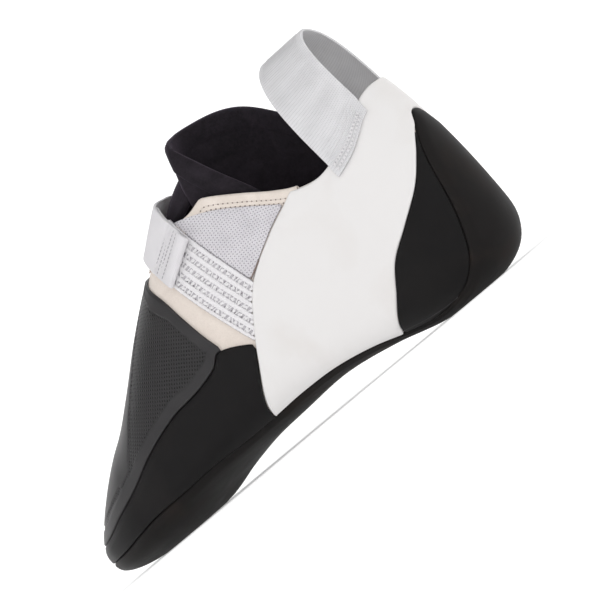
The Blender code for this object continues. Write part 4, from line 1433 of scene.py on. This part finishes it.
span = np.array((-0.05, 0.15))
band_rear = Line(
    span,
    (span - BAND_FOOT[0] + STRAP_WIDTH / 2 * BAND_STRETCH) / BAND_SLANT + BAND_FOOT[1],
)
gusset_foot = Line(
    np.array((place(0.0), place(0.220), place(0.560))),
    np.array((1.0, 0.6, 0.3)) * INSTEP_HEIGHT,
)
for side_name, sections in SIDES:
    under = (sling_front, band_rear, gusset_foot)
    gusset = plate(
        "gusset_" + side_name + "_elastic",
        *region(sections, under, (collar,), 2e-4, -BINDING + BINDING_OVERLAP),
        GAP, GAP + GUSSET_WALL, rim=0.0003, steps=20,
    )
    dress(gusset, elastic, "webbing", "gusset_" + side_name)

corner_at = sling_end_near[0] - TACK_START
corner_x = float(band_place(-STRAP_WIDTH / 2 - BAND_RIM, corner_at))
back, down = (np.linspace(0.0, reach, 12) for reach in TACK_REACH)
corner, corner_normals = over_instep(corner_x - back, corner_at - down)
tack_path = (corner + corner_normals * (GAP + 0.0007), corner_normals)
tack = bead("tack", (0.0012, 0.00075, 0.0006))
bar_tack = along_paths("gusset_bar_tack", [tack_path], tack, 0.0006, brown_thread, seed=6)
dress(bar_tack, brown_thread, "webbing")

# %% [markdown]
# A folded strip binds the raw edge of the collar and of the throat. It wraps over the
# edge, thick and soft, and two rows of stitches hold it. Its section is drawn once and
# swept along the edge.

# %% Binding
STITCH_PITCH, STITCH_LIFT, STITCH_ROWS = 0.0022, 0.00045, (0.0032, 0.0053)
ROLL_RADIUS = 1.42
BINDING_ENDS = (0.222, 0.572)
NARROWED = ((0.222, 0.24, 0.44, 0.50), (0.45, 1.0, 1.0, 0.55))

# Section in mm: first number towards the collar's edge, second outwards.
outside_face = (
    (-6.0, 0.05), (-6.0, 0.30), (-5.7, 0.42), (-5.3, 0.40), (-4.9, 0.46),
    (-3.6, 0.52), (-3.2, 0.44), (-2.8, 0.54), (-1.4, 0.62), (-0.2, 0.62),
)
roll = [
    (-0.2 + ROLL_RADIUS * math.cos(turn), -0.80 + ROLL_RADIUS * math.sin(turn))
    for turn in map(math.radians, np.linspace(80, -80, 9))
]
inside_face = (
    (-0.2, -2.22), (-2.0, -2.15), (-3.8, -2.05), (-4.2, -1.85), (-4.2, -1.65),
    (-1.5, -1.65), (0.2, -1.2), (0.2, -0.4), (-1.5, 0.05),
)
profile = np.array((*outside_face, *roll, *inside_face)) * MM


def edge_frame(which):
    """Edge points of the upper, with their outward and upward directions."""
    top = upper_high(which)
    points, normals = sample(which, np.stack((top - 0.001, top), axis=1))
    up = points[:, 1] - points[:, 0]
    up /= np.linalg.norm(up, axis=-1, keepdims=True)
    return points[:, 1], normals[:, 1], up


def swept(name, which, narrow):
    """Sweeps the binding's profile along the upper's edge."""
    points, normals, up = edge_frame(which)
    t = profile[None, :, 0] * np.where(profile[None, :, 0] < 0, narrow[:, None], 1.0)
    rings = points[:, None] + up[:, None] * t[..., None]
    rings = rings + normals[:, None] * profile[None, :, 1, None]
    index = numbered(rings)
    faces = [*quads_of(index, closed=True), index[0], index[-1]]
    return mesh_from(name, rings.reshape(-1, 3), faces)


seams = {distance: [] for distance in STITCH_ROWS}
for side_name, sections in SIDES:
    x, rise = last_points[sections, 0, 0], upper_high(sections)
    between_ends = (x > place(BINDING_ENDS[0])) & (x < place(BINDING_ENDS[1]))
    chosen = sections[between_ends & (rise < whole(sections) - 1e-4)]
    narrow = np.interp(last_points[chosen, 0, 0] / LENGTH + HEEL_SPOT, *NARROWED)
    binding = swept("binding_" + side_name, chosen, narrow)
    dress(binding, cream_suede, "microfibre")
    points, normals, up = edge_frame(chosen)
    for distance, paths in seams.items():
        line = points - up * (distance * narrow)[:, None] + normals * STITCH_LIFT
        paths.append((line, normals))
    print("binding", side_name, len(chosen), "sections")

# %% [markdown]
# Two rows of thread hold the binding. Under each stitch is a needle hole, painted as its shade with
# a flat dark bead. The holes' paths start two points later, so that they fall between stitches.

# %% Stitches and needle holes
seam_paths = [path for paths in seams.values() for path in paths]
shifted = [(path[2:], normals[2:]) for path, normals in seam_paths]
stitch = bead("stitch", (0.0016, 0.00042, 0.00036), power=0.8)
hole = bead("hole", (0.0008, 0.0007, 0.0004))
stitches = along_paths(
    "binding_stitches", seam_paths, stitch, STITCH_PITCH, cream_thread, jitter=0.05, seed=7,
)
dress(stitches, cream_thread, "microfibre")
# Painted shade: flat dark beads between the stitches stand for the shadow in each needle hole.
hole_shades = along_paths("binding_needle_holes", shifted, hole, STITCH_PITCH, needle_hole_shade, seed=8)
dress(hole_shades, needle_hole_shade, "microfibre")

# %% [markdown]
# The tongue is soft padding in a black fleece. Its strip lies under the throat, and above
# the collar it grows into a cuff that wraps the front of the ankle, high in front and low
# at both wings. In plan the cuff is an ellipse in front, and keeps inside the upper's
# wall at the sides, so the wall's place at any height is worked out first.

# %% Plan of the cuff
TONGUE_THICKNESS = 0.0032
CUFF_FRONT, CUFF_REACH, CUFF_WIDTH = 0.433, 0.036, 0.054
CUFF_GAP = 0.0012


def wall_y(x, z, offset, sign):
    """Distance of the last's wall from the centre plane, at a place and a height."""
    share = min(max(x / LENGTH + HEEL_SPOT, 0.0), 1.0)
    back = min(max(HEEL_PIVOT - share, 0.0) * LENGTH / (HEEL_BACK + offset), 1.0)
    spot = max(share, HEEL_PIVOT)
    half = column(LAST, "medial" if sign > 0 else "lateral", spot) * BALL_WIDTH + offset
    girth = column(LAST, "girth", spot) * GIRTH_HEIGHT
    crown = column(LAST, "crown", spot) * INSTEP_HEIGHT
    height = min(max(z - (1.0 - CROWN_STEADY) * bed(share), girth), crown + offset)
    lift = ((height - girth) / (crown - girth + offset)) ** (CROWN_POWER / 2)
    out = max(1.0 - lift**2, 0.0) ** (1 / CROWN_POWER)
    wide = max(out**2 - back**2, 0.0) ** 0.5
    shift = column(SWING, "crest", spot) * CREST_SHIFT * min(z / crown, 1.0)
    return float(sign * half * wide + shift + column(SWING, "toe", share) * TOE_SWING)


def cuff_spot(angle, depth):
    """Plan point on the cuff: an ellipse in front, the upper's inner wall at the sides."""
    turn = math.radians(angle)
    x = place(CUFF_FRONT) - CUFF_REACH + (CUFF_REACH - depth) * math.cos(turn)
    sign = 1.0 if turn >= 0 else -1.0
    bow = (CUFF_WIDTH / 2 - depth) * math.sin(turn) + CREST_SHIFT
    wall = wall_y(x, float(height_on(collar, x)), -UPPER_WALL - CUFF_GAP - depth, sign)
    return x, min(bow, wall) if sign > 0 else max(bow, wall)


print("cuff's front in mm:", [round(part / MM, 1) for part in cuff_spot(0, 0.0)])

# %% [markdown]
# The cuff's pad is drawn section by section round that plan. Its rim is folded and sewn:
# it is thicker down to the seam, which is a narrow valley. Slow waves make both faces
# uneven, as soft padding is. A cloth simulation is the usual way to pad fabric, but this
# pad is thin, stands along the ankle and hardly hangs, so it is shaped directly.

# %% Padded cuff
TONGUE_HEIGHT = 0.134
CUFF_DEPTH, CUFF_LOW, CUFF_LEAN, CUFF_SLACK = 0.014, 0.005, 0.008, 0.0003
CUFF_RINGS, CUFF_STEPS = 92, 46
WING_FADE, WING_LEAST = 8.0, 0.35
RIM_FOLD, FOLD_SWELL, FOLD_BLEND, RIM_ROUND = 0.009, 0.00045, 0.0008, 0.0019
SEAM_DEPTH, SEAM_BELOW, SEAM_WIDTH = 0.0005, 0.0006, 0.0007
CUFF_TOP = table(
    "share rise",
    (-125, 0.10), (-100, 0.42), (-70, 0.80), (-40, 0.97), (-10, 1.00),
    (15, 0.87), (35, 0.46), (55, 0.02), (75, -0.35),
)


def cuff_half(from_rim):
    """Half the pad's thickness at a distance below its rim."""
    swell = FOLD_SWELL * float(ramp(from_rim, RIM_FOLD + FOLD_BLEND, RIM_FOLD - FOLD_BLEND))
    off_seam = (from_rim - RIM_FOLD - SEAM_BELOW) / SEAM_WIDTH
    seam = -SEAM_DEPTH * math.exp(-(off_seam**2))
    round_off = math.sqrt(max(1 - (1 - min(from_rim / RIM_ROUND, 1.0)) ** 2, 0.0))
    return (TONGUE_THICKNESS / 2 - CUFF_SLACK + swell + seam) * round_off


def cuff_ring(angle):
    """Closed section of the cuff at an angle: up its outside and down its inside."""
    centre = np.array(cuff_spot(angle, TONGUE_THICKNESS / 2))
    outside = np.array(cuff_spot(angle, 0.0)) - centre
    outside /= max(np.linalg.norm(outside), 1e-9)
    edge = float(height_on(collar, centre[0]))
    low, free = edge - CUFF_DEPTH, TONGUE_HEIGHT - edge - CUFF_LOW
    top = edge + CUFF_LOW + free * float(column(CUFF_TOP, "rise", angle)) - 2 * CUFF_SLACK
    from_wing = min(angle - CUFF_TOP["share"][0], CUFF_TOP["share"][-1] - angle)
    thin = max(min(from_wing / WING_FADE, 1.0), WING_LEAST)
    up = np.linspace(0.0, 1.0, CUFF_STEPS)
    ring = []
    for face, way in ((1.0, up), (-1.0, up[::-1])):
        for t in way:
            wave = math.sin(angle * 0.11 + t * 5.0) * math.sin(t * 9.0 + angle * 0.05)
            offset = face * cuff_half((1.0 - t) * (top - low)) * thin + 0.00035 * wave
            spot = centre + outside * offset
            ring.append((spot[0] - CUFF_LEAN * t**2, spot[1], low + (top - low) * t))
    return ring


angles = np.linspace(CUFF_TOP["share"][0], CUFF_TOP["share"][-1], CUFF_RINGS)
rings = np.array([cuff_ring(angle) for angle in angles])
index = numbered(rings)
faces = [tuple(f) for f in quads_of(index, closed=True)]
for row in (index[0], index[-1]):
    for k in range(len(row) // 2):
        corners = dict.fromkeys((row[k], row[k + 1], row[-2 - k], row[-1 - k]))
        if len(corners) > 2:
            faces.append(tuple(corners))
cuff = mesh_from("cuff_neoprene", rings.reshape(-1, 3), faces)
dress(cuff, black_fleece, "neoprene", "tongue")

# %% [markdown]
# The tongue's strip lies just under the upper, from inside the cuff's front to past the
# end of the throat. Its rear edge follows the cuff's curve in plan, so that its corners
# stay hidden in the cuff.

# %% Tongue
UPPER_INSIDE = UPPER_WALL + GAP + 0.0004
TONGUE_ROUND, TONGUE_OVERLAP = 0.0018, 0.0008

tongue_x, tongue_near, tongue_far = slit(
    (0.410, 0.22, 0.19), (0.480, 0.22, 0.19), (0.550, 0.18, 0.15), (0.595, 0.12, 0.09),
    (0.610, 0.08, 0.05),
)
x = spaced(tongue_x[0], tongue_x[-1], TONGUE_ROUND, 70)
half_near, half_far = (np.interp(x, tongue_x, half) for half in (tongue_near, tongue_far))
share = spaced(0.0, 1.0, 0.05, 34)
reading = -half_far[:, None] + (half_near + half_far)[:, None] * share
bow = np.sqrt(1 - np.clip(np.abs(reading) / (CUFF_WIDTH / 2), 0.0, 0.85) ** 2)
rear = place(CUFF_FRONT) - CUFF_REACH + (CUFF_REACH - TONGUE_THICKNESS / 2) * bow
rear = rear - TONGUE_OVERLAP
ahead = ((x - x[0]) / (x[-1] - x[0]))[:, None]
x = rear + (x[-1] - rear) * ahead
points, normals = over_instep(x, reading)
side = np.minimum(share, 1 - share) * (half_near + half_far)[:, None]
tip = np.minimum(x - rear, x[-1] - x)
uv = np.stack((x, reading), axis=-1)
inner = np.full(side.shape, -UPPER_INSIDE - TONGUE_THICKNESS)
outer = inner + TONGUE_THICKNESS
tongue = slab(
    "tongue_neoprene", points, normals, inner, outer, side, tip, TONGUE_ROUND, uv,
)
dress(tongue, black_fleece, "neoprene", "tongue")

# %% [markdown]
# The pull loop is a length of ribbed webbing. Both ends are sewn down outside the sling at
# the heel, and it stands up in a bow that a finger fits through. The bow is drawn as
# pairs: how high a point is on the loop, and how far out, as a share of the heel's width.

# %% Bow of the pull loop
LOOP_REAR, LOOP_WIDTH, LOOP_HEIGHT, LOOP_LEAN, LOOP_SEAT = 0.045, 0.024, 0.042, 0.006, 0.007
LOOP_STAND = 0.0022
BENDS = (
    (0.00, 1.00), (0.10, 1.00), (0.21, 1.00), (0.42, 0.98), (0.64, 0.90), (0.82, 0.72),
    (0.94, 0.43), (1.00, 0.00),
)

bends = hermite([*BENDS, *((rise, -out) for rise, out in BENDS[-2::-1])], 260)
loop_t = spaced(0.0, 1.0, 0.025, 30)
loop_grid = np.empty((len(loop_t), len(bends), 3))
for i, t in enumerate(loop_t):
    seat_x = place(LOOP_REAR) + LOOP_WIDTH * t
    edge = float(height_on(collar, seat_x))
    foot, top = edge - LOOP_SEAT, HEEL_HEIGHT + LOOP_HEIGHT - LOOP_SEAT
    for j, (rise, spread_out) in enumerate(bends):
        rise = min(max(rise, 0.0), 1.0)
        z = foot + (top - foot) * rise
        sign = 1.0 if spread_out >= 0 else -1.0
        wall = wall_y(seat_x, min(z, edge + 0.0006), LOOP_STAND, sign)
        loop_grid[i, j] = (seat_x + LOOP_LEAN * rise, abs(spread_out) * wall, z)
tangent_u, tangent_v = np.gradient(loop_grid, axis=0), np.gradient(loop_grid, axis=1)
loop_normals = np.cross(tangent_v, tangent_u)
loop_normals /= np.linalg.norm(loop_normals, axis=-1, keepdims=True)
if loop_normals[len(loop_t) // 2, len(bends) // 2, 2] < 0:
    loop_normals = -loop_normals
run = np.cumsum(np.linalg.norm(tangent_v[len(loop_t) // 2], axis=-1))
print("pull loop runs", round(run[-1] / MM), "mm")

# %% [markdown]
# Ribs run across the webbing, and a smooth selvedge with a groove beside it runs along
# each edge, all of them in the mesh. Rows of zigzag sewing hold its feet. Each row is two
# sets of beads on one path, turned to opposite sides.

# %% Webbing and sewing of the pull loop
WEBBING, LOOP_CUT = 0.0012, (0.0275, 0.132)
LOOP_RIB, RIB_HEIGHT, GROOVE_DEPTH = 0.0012, 0.00017, 0.00018
SEWN_AT, ZIGZAG_PITCH, ZIGZAG_TURN = (0.0022, 0.0042), 0.0016, 50

side = (np.minimum(loop_t, 1 - loop_t) * LOOP_WIDTH)[:, None]
side = np.broadcast_to(side, loop_grid.shape[:2])
tip = np.broadcast_to(np.minimum(run - run[0], run[-1] - run)[None, :], side.shape)
ribbed = ramp(side, 0.0022, 0.0032)
groove = ramp(side, 0.0022, 0.0026) * (1 - ramp(side, 0.0030, 0.0034))
ribs = RIB_HEIGHT * np.cos(run / LOOP_RIB * 2 * math.pi)[None, :] * ribbed
ribs = ribs - GROOVE_DEPTH * groove
uv = np.stack(np.broadcast_arrays((loop_t * LOOP_WIDTH)[:, None], run[None, :]), axis=-1)
loop = slab(
    "pull_loop_webbing", loop_grid, loop_normals, -ribs * 0.8, WEBBING + ribs, side, tip,
    0.0005, uv,
)
dress(loop, loop_webbing, "webbing", "pull_loop")

zigzag = bead("zigzag", (0.0020, 0.00045, 0.00040), power=0.8)
sewing = []
for at in SEWN_AT:
    for distance in (at, run[-1] - at):
        spots = slice(8, -8), int(np.argmin(np.abs(run - distance)))
        line = loop_grid[spots] + loop_normals[spots] * (WEBBING + 0.0002)
        sewing.append((line, loop_normals[spots]))
for turn, name in ((ZIGZAG_TURN, "pull_loop_sewing"), (-ZIGZAG_TURN, "pull_loop_sewing_back")):
    seam = along_paths(name, sewing, zigzag, ZIGZAG_PITCH, white_yarn, turn, jitter=0.08, seed=9)
    dress(seam, white_yarn, "webbing")

# %% [markdown]
# The insole closes the shoe underneath and carries the foot. It is a board with a cloth
# face, cut to the outline of the cavity at the height where it lies.

# %% Insole
INSOLE_THICKNESS, INSOLE_EDGE = 0.0025, (0.35, 0.95)
EDGE_FROM, EDGE_DROP, DISH = 0.9, 0.0008, 0.0003
board_height = 0.0029 + UPPER_WALL + GAP + INSOLE_THICKNESS


def board_z(x):
    return bed(x / LENGTH + HEEL_SPOT) + board_height


def over_board(p):
    return p[:, 2] - board_z(p[:, 0])


edge_points, edge_normals = sample(ROUND_TRIP, crossing(ROUND_TRIP, over_board)[:, None])
outline = edge_points[:, 0] - edge_normals[:, 0] * (UPPER_WALL + 2 * GAP)
base_x = last_points[ROUND_TRIP, 0, 0]
swing = column(SWING, "toe", base_x / LENGTH + HEEL_SPOT) * TOE_SWING
spine = np.stack((base_x, swing), axis=1)
share = np.concatenate((np.linspace(0, 0.94, 16), (0.97, 0.985, 0.996, 1.0)))
flat = spine[:, None] + (outline[:, None, :2] - spine[:, None]) * share[None, :, None]
near_edge = np.maximum(share - EDGE_FROM, 0.0) / (1 - EDGE_FROM)
drop = EDGE_DROP * (1 - np.sqrt(np.maximum(1 - near_edge**2, 0.0)))
board = board_z(flat[..., 0])
thick = INSOLE_THICKNESS * np.where(share == 1.0, *INSOLE_EDGE)
top = np.dstack((flat, board - drop[None, :] + DISH * share[None, :] ** 4))
under = np.dstack((flat, board - thick[None, :]))
ring = np.concatenate((top, under[:, ::-1]), axis=1)
insole = mesh_from("insole_board", ring.reshape(-1, 3), quads_of(numbered(ring)))
dress(insole, board_cloth, "insole_board", "insole")

# %% [markdown]
# The beads have done their work. They are taken out of the scene, because everything in
# it counts as a piece of the shoe.

# %% Tidy the beads away
print("beads:", ", ".join(shape.name for shape in beads))
for shape in beads:
    bpy.data.objects.remove(shape, do_unlink=True)

# %% [markdown]
# The floor is plain and pale, and curves up far away like a studio's paper roll, so that
# no edge shows. A little light of its own keeps it even.

# %% Floor
FLOOR_SIDES = 96
FLOOR_CURVE = (
    (0.0, 0.0), (1.8, 0.0), (2.6, 0.0), (3.0, 0.06), (3.3, 0.25), (3.45, 0.6), (3.5, 1.2),
    (3.5, 2.6),
)
floor_finish, tree, shader = new_finish(
    "studio floor", (0.93, 0.93, 0.93), 0.9,
    Emission_Color=(1.0, 1.0, 1.0, 1.0), Emission_Strength=0.36,
)
bm = bmesh.new()
rings = []
for radius, height in FLOOR_CURVE:
    rings.append([
        bm.verts.new((radius * math.cos(a), radius * math.sin(a), height))
        for a in np.linspace(0, 2 * math.pi, FLOOR_SIDES + 1)[:-1]
    ])
for low_ring, high_ring in zip(rings, rings[1:]):
    for k in range(FLOOR_SIDES):
        after = (k + 1) % FLOOR_SIDES
        bm.faces.new((low_ring[k], high_ring[k], high_ring[after], low_ring[after]))
bmesh.ops.remove_doubles(bm, verts=bm.verts, dist=1e-4)
bmesh.ops.recalc_face_normals(bm, faces=bm.faces)
floor_mesh = bpy.data.meshes.new("floor")
bm.to_mesh(floor_mesh)
bm.free()
floor_mesh.shade_smooth()
floor_mesh.materials.append(floor_finish)
floor = bpy.data.objects.new("floor", floor_mesh)
bpy.context.scene.collection.objects.link(floor)

# %% [markdown]
# The light is soft: a white world, and three round lamps, each about four times as wide
# as the shoe is long. The key light stands on the camera's side, above the heel. The
# plain Standard view keeps the white rubber and the webbing as white as they are set.

# %% Light
AIM = Vector((0.067, 0.003, 0.046))
WORLD_STRENGTH = 0.55
LAMPS = (
    ("key light", (-0.5, 1.1, 1.5), 0.9, 2.6),
    ("fill light", (1.2, 0.9, 0.7), 1.0, 0.8),
    ("back light", (0.2, -1.4, 1.2), 1.0, 2.0),
)
world = bpy.data.worlds.new("studio")
bpy.context.scene.world = world
world.use_nodes = True
background = world.node_tree.nodes["Background"]
background.inputs["Color"].default_value = (1.0, 1.0, 1.0, 1.0)
background.inputs["Strength"].default_value = WORLD_STRENGTH
bpy.context.scene.view_settings.view_transform = "Standard"
for name, where, size, power in LAMPS:
    lamp = bpy.data.lights.new(name, "AREA")
    lamp.shape, lamp.size, lamp.energy = "DISK", size, power
    item = bpy.data.objects.new(name, lamp)
    item.location = where
    item.rotation_mode = "QUATERNION"
    item.rotation_quaternion = (AIM - Vector(where)).to_track_quat("-Z", "Y")
    bpy.context.scene.collection.objects.link(item)
print("lamps:", len(LAMPS))

# %% [markdown]
# The photograph looks at the shoe from its heel and medial side, with the toe hanging
# down. Here the shoe stands on the floor, so the camera keeps that side and that roll,
# and stops just above the floor. A long lens from far away keeps the outline flat.

# %% Camera
VIEW_TURN, VIEW_RISE, VIEW_ROLL = (math.radians(angle) for angle in (206.0, -1.2, 40.0))
CAMERA_DISTANCE, LENS = 1.40, 200.0

camera_data = bpy.data.cameras.new("camera")
camera_data.lens = LENS
camera_data.clip_start, camera_data.clip_end = 0.05, 20.0
camera = bpy.data.objects.new("camera", camera_data)
bpy.context.scene.collection.objects.link(camera)
bpy.context.scene.camera = camera
level = math.cos(VIEW_RISE)
back = Vector((math.sin(VIEW_TURN) * level, -math.cos(VIEW_TURN) * level, math.sin(VIEW_RISE)))
camera.location = AIM + back * CAMERA_DISTANCE
camera.rotation_mode = "QUATERNION"
looking = (-back).to_track_quat("-Z", "Y").to_matrix()
rolled = looking @ Matrix.Rotation(-VIEW_ROLL, 3, "Z")
camera.rotation_quaternion = rolled.to_quaternion()
print("camera", round(camera.location.z / MM), "mm over the floor")
